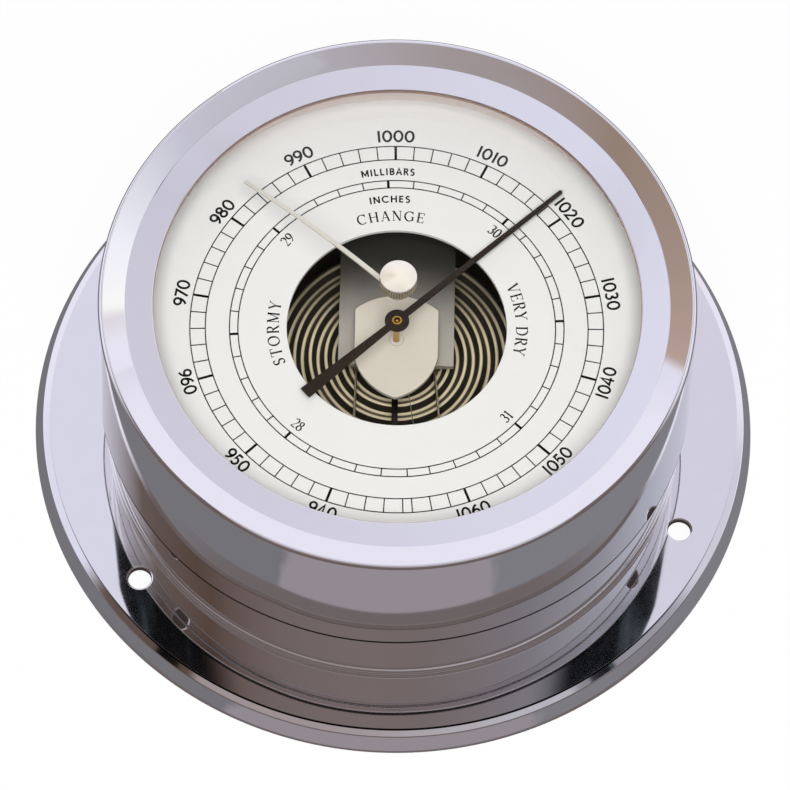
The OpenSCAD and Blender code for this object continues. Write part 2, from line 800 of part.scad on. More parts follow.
axle_flange_t = 0.4;
axle_flange_w = 0.35;
axle_room = 0.06;
axle_low = hand_low_z - axle_room - axle_flange_t;
knob_top_t = 0.8;
knob_bore = knob_h - knob_top_t;
knob_cone_step = 0.15;
knob_cone_top = 0.3;

module set_axle() color("gainsboro") translate([0, 0, axle_low]) {
  cylinder(h = axle_flange_t, r = axle_r + axle_flange_w);
  cylinder(h = knob_z + knob_bore - fit - axle_low, r = axle_r);
}

module set_knob() color("silver") translate([0, 0, knob_z]) difference() {
  union() {
    cylinder(h = knob_h, r = knob_r);
    translate([0, 0, knob_h]) cylinder(h = knob_cone_h, r1 = knob_r - knob_cone_step, r2 = knob_cone_top);
  }
  translate([0, 0, -cut]) cylinder(h = knob_bore + cut, r = axle_r + fit);
}

hand_washer_z = hand_top_z + 0.03;
hand_washer_r = hand_hub_r - 0.2;
knob_washer_r = knob_r - 0.5;

module hand_washer() color("white") translate([0, 0, hand_washer_z])
  ring(hand_washer_r, axle_r + fit, crown_in_z - hand_washer_z - 2 * run);

module knob_washer() color("white") translate([0, 0, crown_z + run])
  ring(knob_washer_r, axle_r + fit, washer_t);

case_body();
bezel();
domed_glass();
glass_gasket();
retaining_ring();
dial();
back_plate();
back_screws();
movement_base();
movement_pillars();
pillar_screws();
base_screws();
capsule_lower();
capsule_upper();
capsule_foot();
capsule_nut();
capsule_stud();
bridge();
bridge_posts();
bridge_screws();
post_screws();
shield_plate();
shield_pillars();
lower_bearing();
upper_bearing();
pointer();
pointer_bush();
pointer_arbor();
thread_drum();
hairspring();
hairspring_collet();
hairspring_stud();
lever_bar();
lever_pin();
wire_stirrup();
link_pin();
link_rod();
rocker_shaft();
rocker_arm();
thread_arm();
rocker_bearings();
bearing_screws();
thread();
thread_ferrule();
adjusting_screw();
set_knob();
set_axle();
set_hand();
hand_washer();
knob_washer();
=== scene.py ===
import math

import bmesh
import bpy
from bpy.props import FloatProperty, FloatVectorProperty, IntProperty, PointerProperty
from mathutils import Matrix, Vector


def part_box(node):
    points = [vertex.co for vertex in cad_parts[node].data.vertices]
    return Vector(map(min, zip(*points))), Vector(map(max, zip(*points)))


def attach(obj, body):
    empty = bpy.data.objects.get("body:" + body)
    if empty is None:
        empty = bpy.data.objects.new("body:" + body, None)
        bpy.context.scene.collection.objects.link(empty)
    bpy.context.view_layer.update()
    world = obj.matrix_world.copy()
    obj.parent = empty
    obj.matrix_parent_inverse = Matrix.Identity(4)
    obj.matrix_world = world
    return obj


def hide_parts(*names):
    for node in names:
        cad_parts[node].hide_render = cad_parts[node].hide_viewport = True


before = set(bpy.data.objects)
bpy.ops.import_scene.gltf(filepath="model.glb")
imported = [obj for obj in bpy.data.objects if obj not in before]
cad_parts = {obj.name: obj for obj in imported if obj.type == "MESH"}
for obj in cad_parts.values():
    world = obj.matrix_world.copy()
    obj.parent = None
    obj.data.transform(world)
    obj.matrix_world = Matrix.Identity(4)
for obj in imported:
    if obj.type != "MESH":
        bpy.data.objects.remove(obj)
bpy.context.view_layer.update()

bl_info = {
    "name": "Ship Barometer",
    "version": (1, 0, 0),
    "blender": (4, 5, 0),
    "location": "View3D > Sidebar > Barometer",
    "description": "Builds the finished look of an aneroid ship barometer round its packed frame",
    "category": "Object",
}

MM = 0.001
LATHE_SIDES = 256
ARC_STEPS = 8
# Support rings that keep flat faces flat beside a rounded edge
HOLD = 0.04 * MM
TINY = 1e-7
# Degrees between two faces from which their edge stays sharp
SHARP = 32
# Thickness of the ink, and how far it is sunk into the dial so that no face floats
INK_RISE = 0.02 * MM
INK_SINK = 0.01 * MM
# Grain that runs in no direction
EVEN = (1, 1, 1)
# Dirt and painted shade: base colour in the seam under the bezel and in the rim's step
DIRT_AND_SHADE = (0.012, 0.01, 0.009)
WHITE = (1, 1, 1, 1)


def reach(node):
    """Outer radius of a round CAD node."""
    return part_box(node)[1].x


def top(node):
    """Highest point of a CAD node."""
    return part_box(node)[1].z


def foot(node):
    """Lowest point of a CAD node."""
    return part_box(node)[0].z


def linear(red, green, blue):
    """A colour written in the usual 0 to 255 steps, as light."""
    steps = [value / 255 for value in (red, green, blue)]
    return tuple(s / 12.92 if s <= 0.04045 else ((s + 0.055) / 1.055) ** 2.4 for s in steps)


def rgba(colour):
    return (*colour, 1.0)


def tone(red, green, blue):
    """A colour in 0 to 255 steps, as a node takes it."""
    return rgba(linear(red, green, blue))


def scaled(shade, share):
    return tuple(value * share for value in shade)


# Sizes and colours that a user would change


def length(name, description, millimetres):
    return FloatProperty(name=name, description=description, default=millimetres * MM,
                         unit="LENGTH", subtype="DISTANCE", precision=5)


def turn(name, description, degrees):
    return FloatProperty(name=name, description=description, default=math.radians(degrees),
                         unit="ROTATION", subtype="ANGLE")


def number(name, description, value):
    return FloatProperty(name=name, description=description, default=value)


def count(name, description, value):
    return IntProperty(name=name, description=description, default=value, min=1)


def colour(name, description, red, green, blue):
    return FloatVectorProperty(name=name, description=description, size=3, subtype="COLOR",
                               default=linear(red, green, blue), min=0, max=1)


class CaseSizes(bpy.types.PropertyGroup):
    """Sizes of the flanged case"""

    tube_radius: length("Tube radius", "Outer radius of the visible tube", 49.4)
    tube_wall: length("Tube wall", "Wall of the tube", 2.0)
    neck_radius: length("Neck radius", "Outer radius of the neck inside the bezel", 49.15)
    lip_width: length("Back lip", "Width of the lip that carries the back plate", 2.6)
    step_width: length("Back step", "Width of the step round the back plate", 1.0)
    lip_drop: length("Lip drop", "How far the lip lies under the flange sheet", 0.8)
    flange_top: length("Flange height", "Height of the flat top of the flange", 4.2)
    flange_sheet: length("Flange sheet", "Thickness of the flange", 1.2)
    rim_width: length("Rim width", "Width of the sloping rim", 2.6)
    rim_band: length("Rim band", "Width of the band between flange and edge", 1.2)
    rim_drop: length("Rim drop", "How far the band slopes down", 0.38)
    rim_foot: length("Rim foot", "Height of the rim's upright foot", 0.5)
    rim_sole: length("Rim sole", "Width of the ring that the rim stands on", 1.6)
    bead: length("Bead", "Radius of the bead at the root of the tube", 0.7)
    rim_step: length("Rim step", "Height of the step between flange and rim", 0.35)
    shoulder_gap: length("Shoulder gap", "Gap between bezel and case shoulder", 0.5)
    hole_count: count("Holes", "Screw holes in the flange", 3)
    hole_radius: length("Hole radius", "Radius of the screw holes", 2.0)
    hole_circle: length("Hole circle", "Radius of the circle of screw holes", 54.0)
    hole_turn: turn("Hole turn", "Angle of the first hole past twelve o'clock", 7.2)
    hole_flare: length("Hole flare", "Rounding of the edge of the holes", 0.3)


class BezelSizes(bpy.types.PropertyGroup):
    """Sizes of the bezel and of the glass under it"""

    width: length("Width", "From the outside to the lip", 9.5)
    wall: length("Wall", "Wall of the skirt", 1.4)
    sheet: length("Sheet", "Thickness of the face", 0.95)
    face_tilt: turn("Face tilt", "Slope of the inner face", 6.8)
    brim_tilt: turn("Brim tilt", "Slope of the outer face", 16.0)
    draft: length("Draft", "How much the skirt widens to its foot, to left and right", 0.6)
    edge_round: length("Edge", "Rounding of the outer edge", 0.8)
    break_round: length("Break", "Rounding between the two faces", 1.2)
    lip_round: length("Lip", "Rounding of the lip", 0.25)
    glass: length("Glass", "Thickness of the domed glass", 2.0)
    glass_seat: length("Glass seat", "Radius where the inside of the dome meets its seat", 45.65)


class DialSizes(bpy.types.PropertyGroup):
    """Sizes of the dial print and of the hands"""

    window: length("Window", "Radius of the dial's window", 18.65)
    outer_scale_in: length("Outer scale inside", "Inner radius of the outer scale", 32.44)
    outer_scale_out: length("Outer scale outside", "Outer radius of the outer scale", 35.07)
    inner_scale_in: length("Inner scale inside", "Inner radius of the inner scale", 26.92)
    inner_scale_out: length("Inner scale outside", "Outer radius of the inner scale", 28.35)
    fine_line: length("Fine line", "Width of the fine lines", 0.2)
    bold_line: length("Bold line", "Width of the bold lines", 0.45)
    ten_step: turn("Ten step", "Turn of the pointer for ten units of the outer scale", 26.67)
    tenth_step: turn("Tenth step", "Turn of the pointer for a tenth of the inner scale", 9.03)
    tenth_start: turn("Tenth start", "Angle of twenty-nine and a half on the inner scale", -2.7)
    print_turn: turn("Print turn", "Turn of the whole print on the dial", -1.45)
    number_height: length("Number height", "Height of the outer numbers", 2.28)
    number_line: length("Number line", "Radius of the foot of the outer numbers", 35.95)
    lower_line: length("Lower number line", "Radius of the foot of the lower outer numbers", 38.03)
    inch_height: length("Inner number height", "Height of the inner numbers", 1.93)
    inch_line: length("Inner number line", "Radius of the middle of the inner numbers", 25.0)
    ring_width: length("Ring width", "Width of the painted ring", 4.0)
    ring_flare: length("Ring flare", "How far the foot of the painted ring flares in", 0.7)
    hub: length("Hub", "Radius of the pointer's hub", 2.07)
    bush: length("Bush", "Radius of the hole for the pointer's bush", 0.87)
    needle_root: length("Needle root", "Width of the needle at the hub", 1.2)
    needle_tip: length("Needle tip", "Width of the needle at its tip", 0.75)
    tail: length("Tail", "Length of the pointer's tail", 20.8)
    tail_end: length("Tail end", "Width of the tail's end", 2.2)
    pointer_reach: length("Pointer", "Length of the needle", 37.9)
    pointer_turn: turn("Pointer turn", "Angle of the pointer from three o'clock", 43.0)
    set_reach: length("Set hand", "Length of the set hand", 35.6)
    set_turn: turn("Set turn", "Angle of the set hand from three o'clock", 138.0)
    set_root: length("Set hand root", "Width of the set hand at the hub", 0.9)
    set_tip: length("Set hand tip", "Width of the set hand at its tip", 0.6)
    set_hub: length("Set hub", "Radius of the set hand's hub", 1.4)
    set_axle: length("Set axle", "Radius of the hole for the set hand's axle", 0.82)
    knurls: count("Knurls", "Ridges round the set knob", 40)


class MovementSizes(bpy.types.PropertyGroup):
    """Sizes of the capsule and of the shield plate"""

    wave_pitch: length("Wave pitch", "Radial pitch of the corrugations", 2.68)
    wave_height: length("Wave height", "Height of the corrugations", 1.1)
    sheet: length("Capsule sheet", "Thickness of the capsule's sheet", 0.3)
    breath: length("Breath", "Room at the rim for the upper sheet's travel", 0.12)
    rim: length("Capsule rim", "Width of the soldered rim", 1.2)
    shoulder: length("Capsule shoulder", "Width of the shoulder inside the rim", 1.1)
    boss: length("Capsule boss", "Radius of the flat middle", 6.6)
    edge: length("Sheared edge", "Rounding of the edges of plates", 0.08)


class Colours(bpy.types.PropertyGroup):
    """Colours of the finishes"""

    chrome: colour("Chrome", "Polished plating", 250, 249, 250)
    dial: colour("Dial", "Enamel of the dial", 236, 235, 232)
    ink: colour("Ink", "Print on the dial", 15, 14, 14)
    wall: colour("Wall", "Paint of the ring between dial and glass", 238, 224, 219)
    pointer: colour("Pointer", "Lacquer of the pointer", 44, 36, 29)
    brass: colour("Brass", "Turned brass", 205, 164, 88)
    steel: colour("Steel", "Screws and pins", 178, 176, 172)
    shield: colour("Shield", "Frosted shield plate", 232, 224, 207)
    bridge: colour("Bridge", "Brushed bridge plate", 205, 200, 186)
    capsule: colour("Capsule", "Metal of the capsule", 240, 224, 188)
    silver: colour("Silver", "Satin set hand", 238, 233, 220)
    knob: colour("Knob", "Spun face of the set knob", 252, 249, 243)


class Studio(bpy.types.PropertyGroup):
    """Light and camera"""

    ambient: number("Ambient", "Strength of the even light", 0.22)
    key: number("Key", "Brightness of the soft box", 11.9)
    key_turn: turn("Key turn", "Compass angle of the soft box from three o'clock", -90.0)
    key_rise: turn("Key rise", "Height angle of the soft box", 66.0)
    focal: number("Focal length", "Focal length in picture widths", 6000 / 790)
    distance: length("Camera distance", "From the camera to the point that it aims at", 1052.6)
    aim_x: length("Aim x", "Point on the back plane that the camera aims at", 0.1)
    aim_y: length("Aim y", "Point on the back plane that the camera aims at", 6.0)
    elevation: turn("Elevation", "Height angle of the camera", 62.9)
    roll: turn("Roll", "Tilt of the picture", 2.01)
    twist: turn("Twist", "Turn of the object under the camera", -0.65)


# Meshes


def arc(centre, radius, start, end, steps=ARC_STEPS):
    """Points on a round stretch, from one angle to another."""
    angles = [start + (end - start) * i / steps for i in range(steps + 1)]
    return [(centre[0] + radius * math.cos(a), centre[1] + radius * math.sin(a)) for a in angles]


def rounded(corners):
    """An outline through corners of (radius, height, rounding)."""
    outline = []
    for i, (across, up, rounding) in enumerate(corners):
        here = Vector((across, up))
        if rounding <= 0:
            outline.append(here)
            continue
        back = (Vector(corners[i - 1][:2]) - here).normalized()
        ahead = (Vector(corners[(i + 1) % len(corners)][:2]) - here).normalized()
        half = back.angle(ahead) / 2
        reach_back = rounding / math.tan(half)
        centre = here + (back + ahead).normalized() * rounding / math.sin(half)
        first = here + back * reach_back - centre
        sweep = first.angle_signed(here + ahead * reach_back - centre)
        outline.append(here + back * (reach_back + HOLD))
        for step in range(ARC_STEPS + 1):
            outline.append(centre + Matrix.Rotation(-sweep * step / ARC_STEPS, 2) @ first)
        outline.append(here + ahead * (reach_back + HOLD))
    return [(point[0], point[1]) for point in outline]


def mesh_piece(name, bm, sharp_angle=SHARP):
    """Turns a bmesh into a piece with smooth faces and sharp edges."""
    bmesh.ops.remove_doubles(bm, verts=bm.verts, dist=TINY)
    bmesh.ops.recalc_face_normals(bm, faces=bm.faces)
    mesh = bpy.data.meshes.new(name)
    bm.to_mesh(mesh)
    bm.free()
    mesh.shade_smooth()
    mesh.set_sharp_from_angle(angle=math.radians(sharp_angle))
    piece = bpy.data.objects.new(name, mesh)
    bpy.context.scene.collection.objects.link(piece)
    return piece


def lathe(name, outline, sides=LATHE_SIDES, sharp_angle=SHARP):
    """A closed outline of (radius, height) points turned round the axis."""
    bm = bmesh.new()
    rings = []
    for radius, height in outline:
        if radius < TINY:
            rings.append([bm.verts.new((0, 0, height))])
            continue
        angles = [2 * math.pi * i / sides for i in range(sides)]
        places = [(radius * math.cos(a), radius * math.sin(a), height) for a in angles]
        rings.append([bm.verts.new(place) for place in places])
    for lower, upper in zip(rings, rings[1:] + rings[:1]):
        for i in range(sides):
            j = (i + 1) % sides
            spots = ((lower, i), (lower, j), (upper, j), (upper, i))
            corners = [ring[k % len(ring)] for ring, k in spots]
            distinct = list(dict.fromkeys(corners))
            if len(distinct) > 2:
                bm.faces.new(distinct)
    return mesh_piece(name, bm, sharp_angle)


def plate(name, loops, low, high, edge):
    """A flat plate with rounded edges. The first loop is its outline and the others are holes."""
    curve = bpy.data.curves.new(name, "CURVE")
    curve.dimensions = "2D"
    curve.fill_mode = "BOTH"
    curve.extrude = (high - low) / 2 - edge
    curve.bevel_depth = edge
    curve.bevel_resolution = 2
    curve.offset = -edge
    for loop in loops:
        spline = curve.splines.new("POLY")
        spline.points.add(len(loop) - 1)
        for point, place in zip(spline.points, loop):
            point.co = (place[0], place[1], 0, 1)
        spline.use_cyclic_u = True
    carrier = bpy.data.objects.new(name, curve)
    bpy.context.scene.collection.objects.link(carrier)
    bpy.context.view_layer.update()
    depsgraph = bpy.context.evaluated_depsgraph_get()
    flat = bpy.data.meshes.new_from_object(carrier.evaluated_get(depsgraph))
    bpy.data.objects.remove(carrier)
    flat.transform(Matrix.Translation((0, 0, (low + high) / 2)))
    bm = bmesh.new()
    bm.from_mesh(flat)
    bpy.data.meshes.remove(flat)
    return mesh_piece(name, bm)


def circle(radius, sides=64):
    return arc((0, 0), radius, 0, 2 * math.pi * (1 - 1 / sides), sides - 1)


def turned(points, angle):
    """Flat points turned round the axis."""
    spin = Matrix.Rotation(angle, 2)
    return [tuple(spin @ Vector(point)) for point in points]


def softened(name, node, edge):
    """A copy of a CAD node whose sharp edges are slightly rounded."""
    bm = bmesh.new()
    bm.from_mesh(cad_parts[node].data)
    bmesh.ops.remove_doubles(bm, verts=bm.verts, dist=1e-6)
    bmesh.ops.dissolve_limit(bm, angle_limit=math.radians(1), verts=bm.verts, edges=bm.edges)
    piece = mesh_piece(name, bm)
    bevel = piece.modifiers.new("Edges", "BEVEL")
    bevel.width = edge
    bevel.segments = 2
    bevel.limit_method = "ANGLE"
    bevel.angle_limit = math.radians(40)
    bevel.harden_normals = True
    made_plain(piece)
    return piece


def made_plain(piece):
    """Applies a piece's modifiers to its mesh."""
    bpy.context.view_layer.update()
    depsgraph = bpy.context.evaluated_depsgraph_get()
    plain = bpy.data.meshes.new_from_object(piece.evaluated_get(depsgraph), depsgraph=depsgraph)
    piece.modifiers.clear()
    rough = piece.data
    piece.data = plain
    bpy.data.meshes.remove(rough)


def seat(piece, finish, body, slot, *nodes):
    """Gives a piece its material, its body and the nodes that it stands for. Its slot is not used.
    """
    piece.data.materials.clear()
    piece.data.materials.append(finish)
    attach(piece, body)
    if nodes:
        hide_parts(*nodes)
    return piece


# Node trees


def operator_pair(operation):
    """A Math node's operation as a Python operator and its reflected form."""

    def forward(self, other):
        return self.nodes.maths(operation, self, other)

    def reflected(self, other):
        return self.nodes.maths(operation, other, self)

    return forward, reflected


class Value:
    """A node socket that can stand in sums, differences, products and quotients."""

    def __init__(self, nodes, socket):
        self.nodes = nodes
        self.socket = socket

    __add__, __radd__ = operator_pair("ADD")
    __sub__, __rsub__ = operator_pair("SUBTRACT")
    __mul__, __rmul__ = operator_pair("MULTIPLY")
    __truediv__, __rtruediv__ = operator_pair("DIVIDE")


class Nodes:
    """Adds nodes to a tree. Settings are set first, then the values or links of the inputs."""

    def __init__(self, tree):
        self.tree = tree
        tree.nodes.clear()

    def node(self, kind, settings=None, inputs=None, take=0):
        made = self.tree.nodes.new(kind)
        for name, value in (settings or {}).items():
            if name == "stops":
                self.set_stops(made.color_ramp.elements, value)
            else:
                setattr(made, name, value)
        for key, value in (inputs or {}).items():
            self.feed(self.socket(made.inputs, key), value)
        return Value(self, self.socket(made.outputs, take)) if made.outputs else made

    @staticmethod
    def socket(sockets, key):
        if isinstance(key, int):
            return sockets[key]
        named = [s for s in sockets if s.identifier == key]
        return named[0] if named else sockets[key]

    def feed(self, socket, value):
        if isinstance(value, Value):
            self.tree.links.new(value.socket, socket)
        else:
            socket.default_value = value

    @staticmethod
    def set_stops(elements, stops):
        while len(elements) < len(stops):
            elements.new(1.0)
        for element, (position, shade) in zip(elements, stops):
            element.position = position
            element.color = shade

    def maths(self, operation, *values):
        return self.node("ShaderNodeMath", {"operation": operation}, dict(enumerate(values)))

    def smooth(self, value, start, end):
        """Rises softly from 0 to 1 between two values."""
        return self.node("ShaderNodeMapRange", {"interpolation_type": "SMOOTHSTEP"},
                         {"Value": value, "From Min": start, "From Max": end})

    def tint(self, first, second, factor):
        """A colour between two colours."""
        colours = {"Factor_Float": factor, "A_Color": first, "B_Color": second}
        return self.node("ShaderNodeMix", {"data_type": "RGBA"}, colours, "Result_Color")

    def mottle(self, shade, low, high, factor):
        """A shade that runs from one share of itself to another."""
        return self.tint(rgba(scaled(shade, low)), rgba(scaled(shade, high)), factor)

    def ramp(self, stops, factor):
        """A row of (position, colour) stops."""
        shades = [(position, tone(*shade)) for position, shade in stops]
        return self.node("ShaderNodeValToRGB", {"stops": shades}, {"Fac": factor})

    def grain(self, size, detail=2.0, stretch=EVEN):
        """Noise whose grains are about the given size."""
        where = self.node("ShaderNodeTexCoord", take="Object")
        place = self.node("ShaderNodeMapping", inputs={"Vector": where, "Scale": stretch})
        noise = {"Vector": place, "Scale": 1 / size, "Detail": detail}
        return self.node("ShaderNodeTexNoise", inputs=noise, take="Fac")

    def outputs(self, kind, inputs=None):
        """All outputs of a node, by name."""
        made = self.node(kind, inputs=inputs).socket.node
        return {socket.name: Value(self, socket) for socket in made.outputs}

    def axes(self, coordinates="Object"):
        """The three parts of a point's place."""
        where = self.node("ShaderNodeTexCoord", take=coordinates)
        return self.outputs("ShaderNodeSeparateXYZ", {"Vector": where}).values()

    def radius(self):
        """Distance from the object's axis."""
        x, y, _ = self.axes()
        return self.maths("SQRT", x * x + y * y)

    def mix(self, factor, first, second):
        """A shader between two shaders."""
        return self.node("ShaderNodeMixShader", inputs={0: factor, 1: first, 2: second})

    def glow(self, shade):
        """A surface that shines evenly in a colour."""
        return self.node("ShaderNodeEmission", inputs={"Color": shade, "Strength": 1.0})

    def finished(self, shader):
        self.node("ShaderNodeOutputMaterial", inputs={"Surface": shader})

    def bump(self, height, distance, strength):
        relief = {"Height": height, "Distance": distance, "Strength": strength}
        return self.node("ShaderNodeBump", inputs=relief)

    def surface(self, **inputs):
        """The material's shader. Names are the shader's own, with low lines for spaces."""
        named = {name.replace("_", " "): value for name, value in inputs.items()}
        self.finished(self.node("ShaderNodeBsdfPrincipled", inputs=named, take="BSDF"))


FINISHES = {}


def finish(name, build, *values):
    """The material of that name, made the first time that it is asked for."""
    if name not in FINISHES:
        made = bpy.data.materials.new(name)
        made.use_nodes = True
        build(Nodes(made.node_tree), *values)
        FINISHES[name] = made
    return FINISHES[name]


def polished(nodes, shade, haze, seam, lip, step):
    """Bright plating with faint waves from the press, a breath of haze and a dull brownish band at
    the lip.

    Dirt and painted shadow sit in the seam over the tube; on the south side, painted shade
    sits in the step of the rim.
    """
    wave = nodes.grain(24 * MM, 1.0)
    breath = nodes.grain(3 * MM, 3.0)
    _, y, z = nodes.axes()
    up = z - seam
    out = nodes.radius()
    past_lip = out - lip
    # A dull brownish band round the bezel's lip
    cut = nodes.smooth(past_lip, 0.14 * MM, 0.07 * MM)
    cut = cut * nodes.smooth(past_lip, -0.5 * MM, -0.4 * MM)
    beside = nodes.maths("ABSOLUTE", out - step)
    # Dirt and painted shadow in the seam just above the bezel's foot; painted shade in the rim's
    # step, on the south side only
    dirt_and_shade = nodes.smooth(up, 0.02 * MM, 0.08 * MM) * nodes.smooth(up, 0.95 * MM, 0.85 * MM)
    south = nodes.smooth(y, -26 * MM, -46 * MM)
    dirt_and_shade = dirt_and_shade + nodes.smooth(beside, 0.14 * MM, 0.08 * MM) * south
    plating = nodes.tint(nodes.mottle(shade, 0.97, 1, breath), tone(196, 170, 160), cut)
    nodes.surface(
        Base_Color=nodes.tint(plating, rgba(DIRT_AND_SHADE), dirt_and_shade),
        Metallic=1.0,
        Roughness=haze + breath * haze + cut * 0.5,
        Normal=nodes.bump(wave, 0.12 * MM, 0.5),
    )


def enamel(nodes, shade, gloss, shine=0.5):
    """Smooth paint with a barely visible orange peel."""
    cloud = nodes.grain(6 * MM, 3.0)
    peel = nodes.grain(0.35 * MM)
    nodes.surface(
        Base_Color=nodes.mottle(shade, 0.965, 1, cloud),
        Roughness=gloss + cloud * 0.08,
        Specular_IOR_Level=shine,
        Normal=nodes.bump(peel, 0.01 * MM, 0.3),
    )


def printed(nodes, shade):
    """Ink with an uneven edge of grey."""
    blot = nodes.grain(0.25 * MM, 3.0)
    lighter = tuple(value * 1.9 + 0.004 for value in shade)
    nodes.surface(
        Base_Color=nodes.tint(rgba(shade), rgba(lighter), blot),
        Roughness=0.5 + blot * 0.15,
        Specular_IOR_Level=0.1,
    )


def metal(nodes, shade, rough, fleck, stretch=EVEN, shine=1.0, north_shadow=None):
    """Worked metal: a grain along one direction, tone that wanders and, if asked, painted shadow
    towards the north.
    """
    line = nodes.grain(fleck, 3.0, stretch)
    cloud = nodes.grain(5 * MM, 3.0)
    shades = nodes.mottle(shade, 0.78, 1, line * 0.6 + cloud * 0.4)
    # Painted shadow: darker towards the north over the given stretch of y
    if north_shadow:
        _, y, _ = nodes.axes()
        shadowed = nodes.smooth(y + cloud * 3 * MM, *north_shadow)
        shades = nodes.tint(shades, rgba(scaled(shade, 0.1)), shadowed)
    nodes.surface(
        Base_Color=shades,
        Metallic=shine,
        Roughness=rough + line * rough * 0.6,
        Normal=nodes.bump(line, 0.012 * MM, 0.5),
    )


def turned_metal(nodes, shade, rough, pitch):
    """Metal with the fine rings that turning leaves."""
    ring = nodes.maths("SINE", nodes.radius() * (2 * math.pi / pitch))
    cloud = nodes.grain(1.5 * MM, 3.0)
    nodes.surface(
        Base_Color=nodes.mottle(shade, 0.85, 1, cloud),
        Metallic=1.0,
        Roughness=rough + cloud * rough * 0.5,
        Normal=nodes.bump(ring, 0.004 * MM, 0.4),
    )


def spun_metal(nodes, shade, edge):
    """Light metal, spun so that its face shines in wedges, with painted shade on its side below the
    edge, between the knurls.
    """
    ring = nodes.maths("SINE", nodes.radius() * (2 * math.pi / (0.11 * MM)))
    cloud = nodes.grain(3 * MM, 3.0)
    _, _, z = nodes.axes()
    # Below the edge, painted shade on the side between the knurls
    face = nodes.smooth(z, edge - 0.05 * MM, edge)
    dull = rgba(scaled(shade, 0.09))
    nodes.surface(
        Base_Color=nodes.tint(dull, nodes.mottle(shade, 0.96, 1, cloud), face),
        Metallic=0.8,
        Roughness=0.22 + cloud * 0.05,
        Anisotropic=0.75,
        Normal=nodes.bump(ring, 0.003 * MM, 0.4),
    )


def corrugated(nodes, shade, crest, pitch):
    """Pressed sheet with painted highlights where it lies flat, painted shade on its flanks and
    painted shadow to the north.
    """
    wave = nodes.maths("COSINE", (nodes.radius() - crest) * (2 * math.pi / pitch))
    cloud = nodes.grain(2 * MM, 3.0)
    _, y, _ = nodes.axes()
    # Painted shadow towards the north; painted highlights on crests and hollows, where the sheet
    # lies flat; painted shade on the flanks
    north = nodes.smooth(y + cloud * 3 * MM, 3 * MM, 15 * MM)
    bright = nodes.smooth(wave * wave, 0.5, 0.85) * (1 - 0.75 * north)
    painted_shade = rgba(scaled(shade, 0.025))
    nodes.surface(
        Base_Color=nodes.tint(painted_shade, nodes.mottle(shade, 0.8, 1, cloud), bright),
        Metallic=0.2,
        Roughness=0.28 + cloud * 0.12,
    )


def rubber(nodes, shade):
    """Dull black packing."""
    pore = nodes.grain(0.2 * MM, 4.0)
    nodes.surface(
        Base_Color=nodes.mottle(shade, 1, 1.7, pore),
        Roughness=0.65 + pore * 0.2,
        Normal=nodes.bump(pore, 0.02 * MM, 0.4),
    )


def waxed(nodes, shade):
    """Twisted waxed thread."""
    twist = nodes.grain(0.12 * MM, 2.0, (1, 0.4, 1))
    nodes.surface(
        Base_Color=nodes.mottle(shade, 0.55, 1, twist),
        Roughness=0.5 + twist * 0.2,
        Normal=nodes.bump(twist, 0.02 * MM, 0.6),
    )


def crystal(nodes, shine):
    """Clear glass: it lets everything through and shines a little at a slant."""
    smear = nodes.grain(9 * MM, 3.0)
    mirror = {"Roughness": 0.03 + smear * 0.04, "Color": WHITE}
    gloss = nodes.node("ShaderNodeBsdfGlossy", inputs=mirror)
    clear = nodes.node("ShaderNodeBsdfTransparent", inputs={"Color": WHITE})
    slant = nodes.node("ShaderNodeFresnel", inputs={"IOR": 1.45})
    nodes.finished(nodes.mix(slant * shine, clear, gloss))


def paint(name):
    """A colour from the sidebar."""
    return tuple(getattr(bpy.context.scene.barometer_colours, name))


def chrome_finish():
    scene = bpy.context.scene
    # Dirt and painted shadow go in the seam, painted shade in the rim's step on the south side
    seam, lip = foot("bezel"), reach("bezel") - scene.barometer_bezel.width
    step = reach("case_body") - scene.barometer_case.rim_width
    return finish("Polished chrome", polished, paint("chrome"), 0.025, seam, lip, step)


def brass_finish():
    return finish("Turned brass", turned_metal, paint("brass"), 0.2, 0.12 * MM)


def ink_finish():
    return finish("Dial ink", printed, paint("ink"))


# What repeats round a circle


def bar_ring_tree():
    """Bars set at equal steps on a circle, each pointing at the axis."""
    name = "Ring of bars"
    if name in bpy.data.node_groups:
        return bpy.data.node_groups[name]
    tree = bpy.data.node_groups.new(name, "GeometryNodeTree")
    nodes = Nodes(tree)
    kinds = {"Count": "Int", "Finish": "Material"}
    for label in ("Count", "First angle", "Step", "Radius", "Width", "Length", "Height", "Level",
                  "Twist", "Finish"):
        kind = "NodeSocket" + kinds.get(label, "Float")
        tree.interface.new_socket(label, in_out="INPUT", socket_type=kind)
    tree.interface.new_socket("Geometry", in_out="OUTPUT", socket_type="NodeSocketGeometry")
    size = nodes.outputs("NodeGroupInput")

    def vector(*parts):
        return nodes.node("ShaderNodeCombineXYZ", inputs=dict(enumerate(parts)))

    line = nodes.node("GeometryNodeMeshLine", inputs={"Count": size["Count"], "Offset": (0, 0, 0)})
    angle = nodes.node("GeometryNodeInputIndex") * size["Step"] + size["First angle"]
    across = nodes.maths("SINE", angle) * size["Radius"]
    up = nodes.maths("COSINE", angle) * size["Radius"]
    spots = {"Geometry": line, "Position": vector(across, up, size["Level"])}
    block = vector(size["Width"], size["Length"], size["Height"])
    each = {
        "Points": nodes.node("GeometryNodeSetPosition", inputs=spots),
        "Instance": nodes.node("GeometryNodeMeshCube", inputs={"Size": block}),
        "Rotation": vector(0.0, 0.0, size["Twist"] - angle),
    }
    bars = nodes.node("GeometryNodeInstanceOnPoints", inputs=each)
    real = nodes.node("GeometryNodeRealizeInstances", inputs={"Geometry": bars})
    coat = {"Geometry": real, "Material": size["Finish"]}
    painted = nodes.node("GeometryNodeSetMaterial", inputs=coat)
    nodes.node("NodeGroupOutput", inputs={"Geometry": painted})
    return tree


